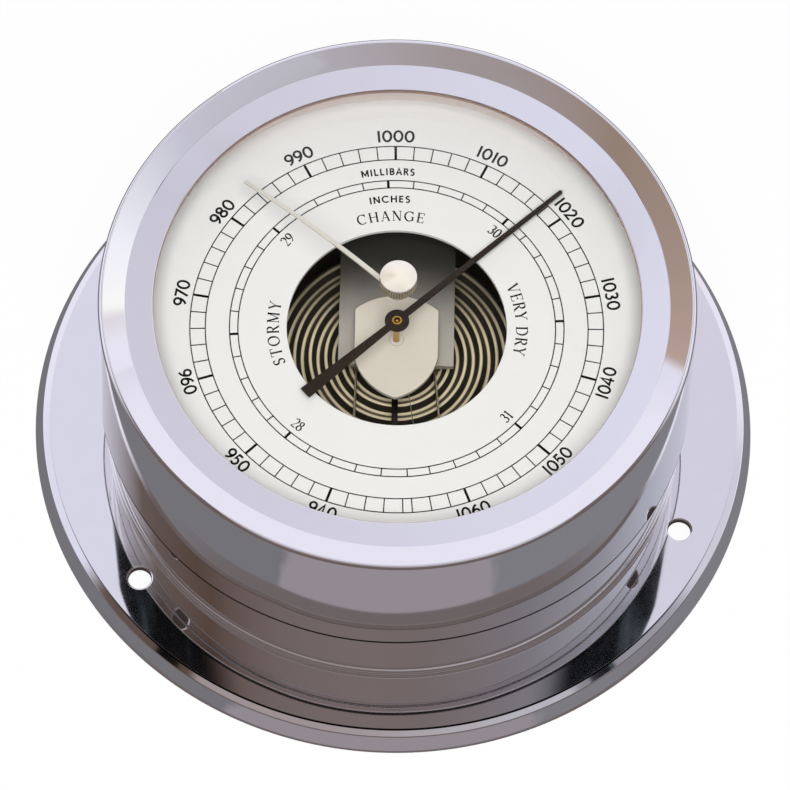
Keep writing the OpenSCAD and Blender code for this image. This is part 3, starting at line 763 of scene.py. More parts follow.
def ring_of_bars(name, **values):
    """A plain mesh of bars on a circle, counted clockwise from twelve.

    Values are the tree's own inputs, with low lines for spaces.
    """
    tree = bar_ring_tree()
    piece = bpy.data.objects.new(name, bpy.data.meshes.new(name))
    bpy.context.scene.collection.objects.link(piece)
    modifier = piece.modifiers.new("Bars", "NODES")
    modifier.node_group = tree
    for item in tree.interface.items_tree:
        if item.in_out == "INPUT":
            modifier[item.identifier] = values[item.name.replace(" ", "_")]
    made_plain(piece)
    return piece


# Letters and numbers, drawn as pen strokes one unit high


def pen(*points):
    return [Vector(point) for point in points]


def bow(x, y, wide, high, start, end):
    steps = max(4, round(abs(end - start) / 12))
    angles = [math.radians(start + (end - start) * i / steps) for i in range(steps + 1)]
    return [Vector((x + wide * math.cos(a), y + high * math.sin(a))) for a in angles]


def upright(x):
    return pen((x, 0), (x, 1))


def lobe(start, x, y, wide, high, end):
    """The half round of a letter, from one level of its stem to another."""
    return pen((0.12, start)) + bow(x, y, wide, high, 90, -90) + pen((0.12, end))


# Widths of the strokes, and the slant of the broad nib
SANS_PEN, BOLD_PEN = 0.165, 0.195
THICK, THIN, NIB = 0.145, 0.058, math.radians(15)
# Half the width of a serif
SERIF = 0.11


def sans_letters(weight):
    """Advance and strokes of the plain letters and numbers."""
    half = weight / 2
    full = 1 - half
    letters = {
        "0": (0.77, [bow(0.385, 0.5, 0.27, 0.435, 0, 360)]),
        "1": (0.38, [pen((0.2, 0), (0.2, 1))]),
        "2": (0.66, [bow(0.29, 0.70, 0.2, 0.235, 165, -35) + pen((0.08, half), (0.56, half))]),
        "3": (0.64, [bow(0.27, 0.735, 0.19, 0.2, 150, -90),
                     bow(0.27, 0.29, 0.23, 0.225, 90, -150)]),
        "4": (0.72, [pen((0.45, 0), (0.45, 0.97), (0.07, 0.27), (0.63, 0.27))]),
        "5": (0.64, [pen((0.52, full), (0.19, full), (0.15, 0.53))
                     + bow(0.27, 0.33, 0.235, 0.265, 110, -140)]),
        "6": (0.66, [bow(0.33, 0.32, 0.235, 0.255, 0, 360),
                     bow(0.645, 0.33, 0.55, 0.63, 180, 108)]),
        "7": (0.60, [pen((0.06, full), (0.53, full), (0.18, 0))]),
        "8": (0.66, [bow(0.33, 0.745, 0.19, 0.19, 0, 360), bow(0.33, 0.29, 0.24, 0.225, 0, 360)]),
        "9": (0.66, [bow(0.33, 0.68, 0.235, 0.255, 0, 360), bow(0.015, 0.67, 0.55, 0.63, 0, -72)]),
        "A": (0.74, [pen((0.04, 0), (0.37, 0.98), (0.70, 0)), pen((0.16, 0.33), (0.58, 0.33))]),
        "B": (0.62, [upright(0.12), lobe(full, 0.30, 0.735, 0.18, 0.2, 0.535),
                     lobe(0.53, 0.32, 0.2975, 0.21, 0.2325, half)]),
        "C": (0.86, [bow(0.5, 0.5, 0.42, 0.435, 45, 315)]),
        "E": (0.58, [pen((0.54, full), (0.12, full), (0.12, half), (0.54, half)),
                     pen((0.12, 0.52), (0.50, 0.52))]),
        "H": (0.80, [upright(0.12), upright(0.68), pen((0.12, 0.52), (0.68, 0.52))]),
        "I": (0.26, [upright(0.13)]),
        "L": (0.56, [pen((0.12, 1), (0.12, half), (0.54, half))]),
        "M": (0.94, [upright(0.11), pen((0.11, 0.97), (0.47, 0.22), (0.83, 0.97)), upright(0.83)]),
        "N": (0.82, [upright(0.12), pen((0.12, 0.97), (0.70, 0.03)), upright(0.70)]),
        "R": (0.64, [upright(0.12), lobe(full, 0.30, 0.7275, 0.2, 0.2075, 0.52),
                     pen((0.32, 0.52), (0.60, 0))]),
        "S": (0.56, [bow(0.28, 0.735, 0.185, 0.2, 35, 270)
                     + bow(0.28, 0.2975, 0.21, 0.2325, 90, -145)]),
    }
    return {sign: (advance, [(stroke, weight) for stroke in strokes])
            for sign, (advance, strokes) in letters.items()}


def stem(x, low=0.0, high=1.0, weight=THICK):
    return (pen((x, low), (x, high)), weight)


def bar(start, end, level, weight=THIN):
    return (pen((start, level), (end, level)), weight)


def slant(start, end, weight):
    return (pen(start, end), weight)


def feet(level, *places):
    """Serifs under or over the stems at these places."""
    inside = THIN / 2 if level == 0 else level - THIN / 2
    return [bar(x - SERIF, x + SERIF, inside) for x in places]


def swell(x, y, wide, high, start, end):
    """A round stroke whose weight follows the pen's direction."""
    return (bow(x, y, wide, high, start, end), None)


def serif_letters():
    """Advance and strokes of the letters and numbers with serifs."""
    base = THIN / 2
    hair = 1 - base
    ring = (0, 360)
    return {
        " ": (0.36, []),
        "0": (0.54, [swell(0.27, 0.5, 0.2, 0.46, *ring)]),
        "1": (0.46, [stem(0.24), slant((0.24, 0.96), (0.10, 0.86), THIN), *feet(0, 0.24)]),
        "2": (0.54, [swell(0.25, 0.72, 0.18, 0.245, 160, -35),
                     slant((0.40, 0.58), (0.07, 0.05), THIN), bar(0.05, 0.48, 0.05, 0.1)]),
        "3": (0.54, [swell(0.24, 0.75, 0.16, 0.2, 150, -90),
                     swell(0.24, 0.285, 0.2, 0.25, 90, -150)]),
        "8": (0.54, [swell(0.27, 0.745, 0.16, 0.2, *ring), swell(0.27, 0.27, 0.2, 0.245, *ring)]),
        "9": (0.54, [swell(0.26, 0.68, 0.19, 0.275, *ring),
                     (bow(0.02, 0.66, 0.43, 0.62, 0, -75), THIN * 1.4)]),
        "A": (0.80, [slant((0.10, 0), (0.39, 1), THIN), slant((0.39, 1), (0.70, 0), THICK),
                     bar(0.20, 0.59, 0.34), *feet(0, 0.10, 0.70)]),
        "C": (0.84, [swell(0.46, 0.5, 0.38, 0.47, 48, 312), stem(0.73, 0.70, 0.97, THIN)]),
        "D": (0.90, [stem(0.17), bar(0.05, 0.40, hair), swell(0.40, 0.5, 0.37, 0.4775, 90, -90),
                     bar(0.05, 0.40, base)]),
        "E": (0.70, [stem(0.17), bar(0.05, 0.60, hair), bar(0.17, 0.50, 0.52),
                     bar(0.05, 0.62, base), stem(0.60, 0.78, 1, THIN),
                     stem(0.50, 0.42, 0.62, THIN), stem(0.62, 0, 0.24, THIN)]),
        "G": (0.90, [swell(0.46, 0.5, 0.38, 0.47, 48, 320), stem(0.73, 0.70, 0.97, THIN),
                     stem(0.74, 0.08, 0.44), bar(0.60, 0.86, 0.44)]),
        "H": (0.90, [stem(0.17), stem(0.73), bar(0.17, 0.73, 0.52),
                     *feet(0, 0.17, 0.73), *feet(1, 0.17, 0.73)]),
        "M": (1.02, [stem(0.15, 0, 1, THIN), slant((0.17, 1), (0.50, 0.06), THICK),
                     slant((0.50, 0.06), (0.83, 1), THIN), stem(0.84),
                     *feet(0, 0.15, 0.84), *feet(1, 0.15, 0.84)]),
        "N": (0.88, [stem(0.15, 0, 1, THIN), slant((0.15, 1), (0.72, 0), THICK),
                     stem(0.72, 0, 1, THIN), *feet(0, 0.15), *feet(1, 0.13, 0.72)]),
        "O": (0.94, [swell(0.47, 0.5, 0.38, 0.47, *ring)]),
        "R": (0.76, [stem(0.17), bar(0.05, 0.38, hair), swell(0.38, 0.745, 0.19, 0.2325, 90, -90),
                     bar(0.17, 0.38, 0.51), slant((0.36, 0.51), (0.68, 0), THICK),
                     *feet(0, 0.17, 0.70)]),
        "S": (0.60, [(bow(0.29, 0.745, 0.18, 0.225, 35, 270)
                      + bow(0.29, 0.27, 0.2, 0.245, 90, -150), None),
                     stem(0.46, 0.76, 0.97, THIN), stem(0.09, 0.03, 0.24, THIN)]),
        "T": (0.74, [stem(0.37), bar(0.05, 0.69, hair), stem(0.05, 0.76, 1, THIN),
                     stem(0.69, 0.76, 1, THIN), *feet(0, 0.37)]),
        "V": (0.78, [slant((0.10, 1), (0.40, 0), THICK), slant((0.40, 0), (0.68, 1), THIN),
                     *feet(1, 0.10, 0.68)]),
        "Y": (0.76, [slant((0.10, 1), (0.38, 0.46), THICK), slant((0.38, 0.46), (0.66, 1), THIN),
                     stem(0.38, 0, 0.48), *feet(0, 0.38), *feet(1, 0.10, 0.66)]),
    }


def stroke_edges(points, weight):
    """The left and right edge of a stroke.

    Without a weight, its width follows the pen's direction.
    """
    edges = []
    joined = (points[0] - points[-1]).length < 1e-6
    last = len(points) - 1
    for i, here in enumerate(points):
        before = points[i - 1] if i else (points[-2] if joined else None)
        after = points[i + 1] if i < last else (points[1] if joined else None)
        ways = [(here - before).normalized()] if before is not None else []
        ways += [(after - here).normalized()] if after is not None else []
        along = sum(ways, Vector((0, 0))).normalized()
        side = Vector((-along.y, along.x))
        mitre = max(0.5, along.dot(ways[0]))
        heading = math.atan2(along.y, along.x)
        wide = THIN + (THICK - THIN) * abs(math.sin(heading - NIB)) if weight is None else weight
        edges.append((here + side * wide / 2 / mitre, here - side * wide / 2 / mitre))
    return edges


def text_strokes(words, letters, height, span, wide):
    """Stroke edges of a line of text, centred on x = 0 with its foot on y = 0."""
    advances = [letters[sign][0] * height * wide for sign in words]
    spare = 0 if span is None or len(words) < 2 else (span - sum(advances)) / (len(words) - 1)
    pen_x = -(sum(advances) + spare * (len(words) - 1)) / 2
    for sign, advance in zip(words, advances):
        for points, weight in letters[sign][1]:
            yield [[(pen_x + p.x * height * wide, p.y * height) for p in edge]
                   for edge in zip(*stroke_edges(points, weight))]
        pen_x += advance + spare


def ink_stroke(bm, left, right, bend, level):
    """Adds one stroke to the ink as a thin closed strip."""
    rows = []
    for pair in zip(left, right):
        flat = [bend(*point) for point in pair]
        levels = (level - INK_SINK, level + INK_RISE)
        rows.append([bm.verts.new((*place, z)) for place in flat for z in levels])
    for a, b in zip(rows, rows[1:]):
        for i, j in ((1, 3), (3, 2), (2, 0), (0, 1)):
            bm.faces.new((a[i], a[j], b[j], b[i]))
    for end in (rows[0], rows[-1]):
        bm.faces.new((end[0], end[1], end[3], end[2]))


def lettering(name, lines, letters, level):
    """Text bent round the dial.

    A line is (words, angle, foot radius, height, tops outward, span, width).
    """
    bm = bmesh.new()
    for words, angle, radius, height, outward, span, wide in lines:
        way = 1 if outward else -1

        def bend(x, y):
            around = angle + way * x / radius
            out = radius + way * y
            return out * math.sin(around), out * math.cos(around)

        for left, right in text_strokes(words, letters, height, span, wide):
            ink_stroke(bm, left, right, bend, level)
    return mesh_piece(name, bm)


# The pieces


class MakeCase(bpy.types.Operator):
    """Turn the flanged case with its bead, its rim and its screw holes"""

    bl_idname = "barometer.make_case"
    bl_label = "Case"

    def execute(self, context):
        size = context.scene.barometer_case
        flange = reach("case_body")
        rim = flange - size.rim_width
        under = size.flange_top - size.flange_sheet
        seat_level = under - size.lip_drop
        inside = size.tube_radius - size.tube_wall
        lip = inside - size.lip_width
        step = size.tube_radius - size.step_width
        shoulder = foot("bezel") - size.shoulder_gap
        lean = math.radians(70)
        bead = [(*point, 0) for point in
                arc((size.tube_radius, size.flange_top + size.bead), size.bead, -lean, lean, 12)]
        bead = [(bead[0][0], size.flange_top, 0)] + bead + [(size.tube_radius, bead[-1][1], 0)]
        outline = rounded([
            (lip, seat_level, 0),
            (step, seat_level, 0),
            (step, under, 0.2 * MM),
            (rim - 0.1 * MM, under, 0.4 * MM),
            (flange - size.rim_sole, 0, 0.2 * MM),
            (flange, 0, 0.12 * MM),
            (flange, size.rim_foot, 0.3 * MM),
            (rim + size.rim_band, size.flange_top - size.rim_drop - size.rim_step, 0.35 * MM),
            (rim, size.flange_top - size.rim_step, 0.05 * MM),
            (rim, size.flange_top, 0.08 * MM),
            *bead,
            (size.tube_radius, shoulder, 0.12 * MM),
            (size.neck_radius, shoulder, 0),
            (size.neck_radius, top("case_body"), 0.2 * MM),
            (inside, top("case_body"), 0.2 * MM),
            (inside, size.flange_top, 0.2 * MM),
            (lip, size.flange_top, 0.2 * MM),
        ])
        case = lathe("case", outline)
        self.drill(case, size)
        seat(case, chrome_finish(), "case", "chrome", "case_body")
        return {"FINISHED"}

    @staticmethod
    def drill(case, size):
        """Cuts the screw holes with a cutter that flares at the top."""
        flare, radius, level = size.hole_flare, size.hole_radius, size.flange_top
        low, high = level - size.flange_sheet - MM, level + MM
        outline = [(0, low), (radius, low), (radius, level - flare)]
        outline += arc((radius + flare, level - flare), flare, math.pi, math.pi / 2, 4)[1:]
        outline += [(radius + flare, high), (0, high)]
        for i in range(size.hole_count):
            cutter = lathe("hole_cutter", outline, 48)
            angle = math.pi / 2 + size.hole_turn + 2 * math.pi * i / size.hole_count
            spot = Vector((math.cos(angle), math.sin(angle), 0)) * size.hole_circle
            cutter.data.transform(Matrix.Translation(spot))
            cut = case.modifiers.new("Hole", "BOOLEAN")
            cut.operation = "DIFFERENCE"
            cut.solver = "EXACT"
            cut.object = cutter
            made_plain(case)
            bpy.data.objects.remove(cutter)
        # The flares' edges are sharp from the cutter, the edges below become so here
        before = [edge.use_edge_sharp for edge in case.data.edges]
        case.data.set_sharp_from_angle(angle=math.radians(SHARP))
        for edge, sharp in zip(case.data.edges, before):
            edge.use_edge_sharp |= sharp


class MakeBezel(bpy.types.Operator):
    """Turn the bezel with its dished face and rolled edge"""

    bl_idname = "barometer.make_bezel"
    bl_label = "Bezel"

    def execute(self, context):
        size = context.scene.barometer_bezel
        outer = reach("bezel")
        inner = outer - size.wall
        lip = outer - size.width
        middle = lip + size.width / 2
        centre_z = top("bezel") - size.edge_round
        touch = outer - size.edge_round - size.edge_round * math.sin(size.brim_tilt)
        touch_z = centre_z + size.edge_round * math.cos(size.brim_tilt)
        brim = math.tan(size.brim_tilt)
        break_z = touch_z - (touch - middle) * brim
        lip_z = break_z - size.width / 2 * math.tan(size.face_tilt)
        edge_z = touch_z + (outer - touch) * brim
        outline = rounded([
            (lip, lip_z - size.sheet, 0.2 * MM),
            (middle, break_z - size.sheet, 0.3 * MM),
            (inner, break_z - size.sheet + (inner - middle) * brim, 0.2 * MM),
            (inner, foot("bezel"), 0.2 * MM),
            (outer, foot("bezel"), 0.3 * MM),
            (outer, edge_z, size.edge_round),
            (middle, break_z, size.break_round),
            (lip, lip_z, size.lip_round),
        ])
        ring = lathe("bezel_ring", outline)
        self.spring(ring, size.draft, outer - size.wall / 2, edge_z)
        seat(ring, chrome_finish(), "case", "chrome", "bezel")
        return {"FINISHED"}

    @staticmethod
    def spring(ring, draft, outside, edge_z):
        """Springs the foot of the skirt out to left and right, as on a bezel that clips on."""
        low = foot("bezel")
        # As shares: where along x it starts, over how much it grows, and the height that stays
        start, growth, still = 0.35, 0.4, 0.4
        for vert in ring.data.vertices:
            radius = math.hypot(vert.co.x, vert.co.y)
            if radius < outside:
                continue
            side = min(max((abs(vert.co.x) / radius - start) / growth, 0), 1)
            side *= side * (3 - 2 * side)
            share = min(max((edge_z - vert.co.z) / (edge_z - low), 0), 1)
            grow = 1 + draft * side * (share - still) / radius
            vert.co.x *= grow
            vert.co.y *= grow


# Room round the set hand's axle in the glass
AXLE_ROOM = 0.03 * MM


def dome_radius(size):
    """Radius of the sphere on the inside of the glass."""
    rise = top("domed_glass") - foot("domed_glass") - size.glass
    return (size.glass_seat ** 2 + rise ** 2) / (2 * rise)


class MakeGlass(bpy.types.Operator):
    """Blow the domed glass, with the hole for the set hand's axle"""

    bl_idname = "barometer.make_glass"
    bl_label = "Domed glass"

    def execute(self, context):
        size = context.scene.barometer_bezel
        level, rim = foot("domed_glass"), reach("domed_glass")
        inner = dome_radius(size)
        outer = inner + size.glass
        centre = (0, top("domed_glass") - outer)
        hole = context.scene.barometer_dial.set_axle + AXLE_ROOM
        seat_angle = math.acos(size.glass_seat / inner)
        outline = arc(centre, inner, math.acos(hole / inner), seat_angle, 48)
        outline.append((rim, level))
        outline += arc(centre, outer, math.acos(rim / outer), math.acos(hole / outer), 48)
        clear = finish("Clear glass", crystal, 0.04)
        seat(lathe("dome", outline), clear, "case", "glass", "domed_glass")
        return {"FINISHED"}


class MakeDial(bpy.types.Operator):
    """Make the dial sheet and the ring that stands between it and the glass"""

    bl_idname = "barometer.make_dial"
    bl_label = "Dial and ring"

    def execute(self, context):
        size = context.scene.barometer_dial
        outer, low, high = reach("dial"), foot("dial"), top("dial")
        sheet = lathe("dial_sheet", rounded([
            (size.window, low, 0.08 * MM),
            (outer, low, 0.08 * MM),
            (outer, high, 0.08 * MM),
            (size.window, high, 0.12 * MM),
        ]))
        white = finish("Dial enamel", enamel, paint("dial"), 0.42)
        seat(sheet, white, "case", "white", "dial")
        outer, low, high = reach("retaining_ring"), foot("retaining_ring"), top("retaining_ring")
        inside = outer - size.ring_width
        wall = lathe("dial_wall", rounded([
            (inside - size.ring_flare, low, 0.05 * MM),
            (outer, low, 0.1 * MM),
            (outer, high, 0.1 * MM),
            (inside, high, 0.4 * MM),
        ]))
        cream = finish("Cream paint", enamel, paint("wall"), 0.4)
        seat(wall, cream, "case", "cream", "retaining_ring")
        return {"FINISHED"}


# Ticks to either side of the middle: every two and ten on the outer scale, every tenth and
# half on the inner one
TWOS, TENS = 34, 6
TENTHS, HALVES = 20, 3


class MakeScales(bpy.types.Operator):
    """Print the two ring scales on the dial"""

    bl_idname = "barometer.make_scales"
    bl_label = "Scales"

    def execute(self, context):
        size = context.scene.barometer_dial
        self.circles(size)
        outer = (size.outer_scale_in, size.outer_scale_out)
        inner = (size.inner_scale_in, size.inner_scale_out)
        ten, two = size.ten_step, size.ten_step / 5
        tenth, half = size.tenth_step, 5 * size.tenth_step
        start = size.print_turn
        self.ticks("outer_ticks", 2 * TWOS, start - TWOS * two, two, outer, size.fine_line)
        self.ticks("outer_tens", 2 * TENS + 1, start - TENS * ten, ten, outer, size.bold_line)
        start += size.tenth_start
        self.ticks("inner_ticks", 2 * TENTHS, start - TENTHS * tenth, tenth, inner, size.fine_line)
        self.ticks("inner_halves", 2 * HALVES + 1, start - HALVES * half, half, inner,
                   size.bold_line)
        return {"FINISHED"}

    @staticmethod
    def circles(size):
        """The four thin circles of the scales, as one piece."""
        high, low = top("dial") + INK_RISE, top("dial") - INK_SINK
        half = size.fine_line / 2
        bm = bmesh.new()
        for scale in ("outer", "inner"):
            for edge in ("in", "out"):
                radius = getattr(size, f"{scale}_scale_{edge}")
                near, far = radius - half, radius + half
                ring = lathe("scale_circles", [(near, low), (far, low), (far, high), (near, high)])
                bm.from_mesh(ring.data)
                bpy.data.objects.remove(ring)
        seat(mesh_piece("scale_circles", bm), ink_finish(), "case", "black")

    @staticmethod
    def ticks(name, bars, first, step, band, width):
        """A row of ticks across the band between two radii."""
        piece = ring_of_bars(
            name, Finish=ink_finish(), Count=bars, First_angle=first, Step=step, Twist=0.0,
            Radius=sum(band) / 2, Width=width, Length=band[1] - band[0],
            Height=INK_RISE + INK_SINK, Level=top("dial") + (INK_RISE - INK_SINK) / 2)
        seat(piece, ink_finish(), "case", "black")


# Words on the dial: angle in degrees, foot radius, height and span in millimetres, and the
# width of the letters
UNITS = (
    ("MILLIBARS", -2.6, 29.44, 1.34, 9.0, 1.0),
    ("INCHES", -2.5, 24.07, 1.32, 6.8, 1.05),
)
WORDS = (
    ("CHANGE", -2.5, 20.5, 1.93, 11.2, 1.0),
    ("STORMY", -93.6, 20.0, 2.03, 11.7, 1.0),
    ("VERY DRY", 86.0, 20.2, 2.03, 13.2, 1.0),
)


class MakeLettering(bpy.types.Operator):
    """Print the numbers and the plain words on the dial"""

    bl_idname = "barometer.make_lettering"
    bl_label = "Lettering"

    def execute(self, context):
        size = context.scene.barometer_dial
        tall = size.number_height
        numbers = []
        for ten in range(-TENS, TENS + 1):
            outward = abs(ten) <= 3
            line = size.number_line if outward else size.lower_line
            angle = ten * size.ten_step
            numbers.append((str(1000 + 10 * ten), angle, line, tall, outward, None, 1.07))
        tall = size.inch_height
        inches = []
        for inch, outward in ((28, False), (29, True), (30, True), (31, False)):
            angle = size.tenth_start + (inch - 29.5) * 10 * size.tenth_step
            line = size.inch_line + (-tall / 2 if outward else tall / 2)
            inches.append((str(inch), angle, line, tall, outward, None, 1.0))
        serif = serif_letters()
        for name, lines, letters in (("outer_numbers", numbers, sans_letters(SANS_PEN)),
                                     ("inner_numbers", inches, serif),
                                     ("unit_words", self.placed(UNITS), sans_letters(BOLD_PEN)),
                                     ("weather_words", self.placed(WORDS), serif)):
            lines = [(text, angle + size.print_turn, *rest) for text, angle, *rest in lines]
            piece = lettering(name, lines, letters, top("dial"))
            seat(piece, ink_finish(), "case", "black")
        return {"FINISHED"}

    @staticmethod
    def placed(words):
        """Lines of words whose tops point outward."""
        return [(text, math.radians(angle), radius * MM, height * MM, True, span * MM, wide)
                for text, angle, radius, height, span, wide in words]


class MakeHands(bpy.types.Operator):
    """Cut the pointer, and bend the set hand to the inside of the dome"""

    bl_idname = "barometer.make_hands"
    bl_label = "Hands"

    def execute(self, context):
        size = context.scene.barometer_dial
        loops = self.pointer_loops(size)
        needle = plate("pointer_hand", loops, foot("pointer"), top("pointer"), 0.05 * MM)
        lacquer = finish("Dark lacquer", enamel, paint("pointer"), 0.3, 0.15)
        seat(needle, lacquer, "pointer_train", "black", "pointer")
        self.bush()
        satin = finish("Satin silver", metal, paint("silver"), 0.3, 0.2 * MM, EVEN, 0.3)
        hand = self.set_hand(size, dome_radius(context.scene.barometer_bezel))
        seat(hand, satin, "set_hand_group", "hand", "set_hand")
        return {"FINISHED"}

    @staticmethod
    def pointer_loops(size):
        """Outline of the pointer along +X, turned to its place, and the hole for its bush."""
        lean = math.asin(size.needle_root / 2 / size.hub)
        tip = size.needle_tip / 2
        outline = arc((size.pointer_reach - tip, 0), tip, -math.pi / 2, math.pi / 2)
        outline += arc((0, 0), size.hub, lean, math.pi - lean, 24)
        outline += [(-size.tail, size.tail_end / 2), (-size.tail, -size.tail_end / 2)]
        outline += arc((0, 0), size.hub, math.pi + lean, 2 * math.pi - lean, 24)
        return [turned(outline, size.pointer_turn), circle(size.bush)]

    @staticmethod
    def bush():
        """The bush with its countersunk bore, and the arbor with its tapered end."""
        outer, low, high = reach("pointer_bush"), foot("pointer_bush"), top("pointer_bush")
        arbor, base, tip = reach("pointer_arbor"), foot("pointer_arbor"), top("pointer_arbor")
        ring = lathe("bush_ring", rounded([
            (arbor, low, 0.03 * MM),
            (outer, low, 0.03 * MM),
            (outer, high, 0.06 * MM),
            (arbor + 0.1 * MM, high, 0.03 * MM),
            (arbor, high - 0.2 * MM, 0),
        ]), 64)
        seat(ring, brass_finish(), "pointer_train", "brass", "pointer_bush")
        shaft = lathe("arbor_shaft", rounded([
            (0, base, 0),
            (arbor - 0.1 * MM, base, 0),
            (arbor, base + 0.1 * MM, 0),
            (arbor, tip - 0.45 * MM, 0),
            (arbor - 0.24 * MM, tip - 0.4 * MM, 0),
            (arbor - 0.26 * MM, tip, 0.05 * MM),
            (0, tip, 0),
        ]), 48)
        seat(shaft, brass_finish(), "pointer_train", "brass", "pointer_arbor")

    @staticmethod
    def set_hand(size, dome):
        """A flat hand laid on a sphere that follows the glass."""
        steps, sheet, gap = 40, 0.4 * MM, 0.6 * MM
        span = size.set_reach - size.set_hub
        taper = (size.set_root - size.set_tip) / size.set_reach
        lean = math.asin(size.set_root / 2 / size.set_hub)
        edge = [size.set_hub + span * i / steps for i in range(steps + 1)]
        upper = [(x, (size.set_root - taper * x) / 2) for x in edge]
        lower = [(x, -y) for x, y in upper]
        hub = arc((0, 0), size.set_hub, lean, 2 * math.pi - lean, 48)
        outline = turned(hub + lower + upper[::-1], size.set_turn)
        hand = plate("set_pointer", [outline, circle(size.set_axle)], 0, sheet, 0.04 * MM)
        sphere = dome - gap
        level = top("set_hand") - sheet - sphere
        for vertex in hand.data.vertices:
            across = math.hypot(vertex.co.x, vertex.co.y)
            vertex.co.z += level + math.sqrt(sphere ** 2 - across ** 2)
        return hand


class MakeKnob(bpy.types.Operator):
    """Turn the set knob with its cone and its knurled edge"""

    bl_idname = "barometer.make_knob"
    bl_label = "Set knob"

    def execute(self, context):
        size = context.scene.barometer_dial
        outer, low, high = reach("set_knob"), foot("set_knob"), top("set_knob")
        cone, knurl, blind = 0.5 * MM, 0.16 * MM, 0.8 * MM
        rim = high - cone
        root = outer - knurl
        bore, ceiling = size.set_axle, rim - blind
        outline = [(0, ceiling), (bore, ceiling), (bore, low)]
        outline += rounded([
            (bore, low, 0),
            (root - 0.3 * MM, low, 0),
            (root, low + 0.3 * MM, 0.1 * MM),
            (root, rim - 0.5 * MM, 0.05 * MM),
            (outer, rim - 0.35 * MM, 0.08 * MM),
            (outer, rim, 0.12 * MM),
            (0.3 * MM, high, 0.2 * MM),
            (0, high, 0),
        ])[1:]
        # Below this height the knob's side carries painted shade
        bright = finish("Spun metal", spun_metal, paint("knob"), rim - 0.42 * MM)
        ridged = finish("Knurled edge", metal, linear(206, 192, 166), 0.35, 0.2 * MM, EVEN, 0.6)
        body = lathe("set_knob_body", outline, 128, 30)
        seat(body, bright, "set_hand_group", "knob", "set_knob")
        step = 2 * math.pi / size.knurls
        wide = step * root * 0.62
        tall = rim - low - 0.85 * MM
        ridges = ring_of_bars(
            "knob_knurls", Finish=ridged, Count=size.knurls, First_angle=0.0, Step=step,
            Twist=math.pi / 4, Radius=root, Width=wide, Length=wide, Height=tall,
            Level=low + 0.35 * MM + tall / 2)
        seat(ridges, ridged, "set_hand_group", "knob")
        return {"FINISHED"}


class MakeCapsule(bpy.types.Operator):
    """Press the two corrugated sheets of the capsule"""

    bl_idname = "barometer.make_capsule"
    bl_label = "Capsule"

    def execute(self, context):
        size = context.scene.barometer_movement
        middle = foot("capsule_upper")
        rise = top("capsule_upper") - middle
        outer = reach("capsule_upper")
        crest = outer - size.rim - size.shoulder
        # The capsule's metal carries painted highlights, painted shade on the flanks and painted
        # shadow to the north
        bright = finish("Capsule metal", corrugated, paint("capsule"), crest, size.wave_pitch)
        upper = lathe("capsule_lid", self.half(size, outer, rise, middle, 1, size.breath))
        seat(upper, bright, "capsule_head", "capsule", "capsule_upper")
        lower = lathe("capsule_floor", self.half(size, outer, rise, middle, -1, 0))
        seat(lower, bright, "case", "capsule", "capsule_lower")
        return {"FINISHED"}

    @staticmethod
    def half(size, outer, rise, middle, way, room):
        """Outline of one sheet, with a gap at its rim.

        Way is 1 for the upper one and -1 for the lower one.
        """
        wall = outer - size.rim
        crest = wall - size.shoulder
        per_wave = 24
        steps = int((crest - size.boss) / size.wave_pitch * per_wave)

        def level(radius):
            dip = 1 - math.cos(2 * math.pi * (crest - radius) / size.wave_pitch)
            return rise - size.wave_height / 2 * dip

        places = [crest - size.wave_pitch * i / per_wave for i in range(steps + 1)]
        shoulder = arc((crest, rise - size.shoulder), size.shoulder, 0, math.pi / 2, 10)
        over = [(outer, room), (outer, size.sheet), (wall, size.sheet)] + shoulder
        boss = level(places[-1])
        over += [(r, level(r)) for r in places[1:]] + [(0, boss)]
        under = [(0, boss - size.sheet)]
        under += [(r, level(r) - size.sheet) for r in reversed(places)]
        under += [(wall - size.sheet, rise - size.shoulder - size.sheet), (wall - size.sheet, room)]
        return [(r, middle + way * z) for r, z in over + under]


class MakePlates(bpy.types.Operator):
    """Round the edges of the bridge, the shield plate and the lever"""

    bl_idname = "barometer.make_plates"
    bl_label = "Movement plates"

    def execute(self, context):
        edge = context.scene.barometer_movement.edge
        frosted = finish("Frosted nickel", metal, paint("shield"), 0.5, 0.12 * MM, EVEN, 0.15)
        # The bridge is given painted shadow towards the north, from 2 mm to 19 mm in y
        brushed = finish("Brushed zinc", metal, paint("bridge"), 0.36, 0.14 * MM, (6, 0.5, 1), 0.6,
                         (2 * MM, 19 * MM))
        dark = finish("Dark oxide", metal, linear(70, 64, 58), 0.35, 0.14 * MM)
        for name, node, material, body, slot in (
                ("shield", "shield_plate", frosted, "case", "nickel"),
                ("movement_bridge", "bridge", brushed, "case", "zinc"),
                ("lever_beam", "lever_bar", dark, "lever", "dark_steel")):
            seat(softened(name, node, edge), material, body, slot, node)
        return {"FINISHED"}


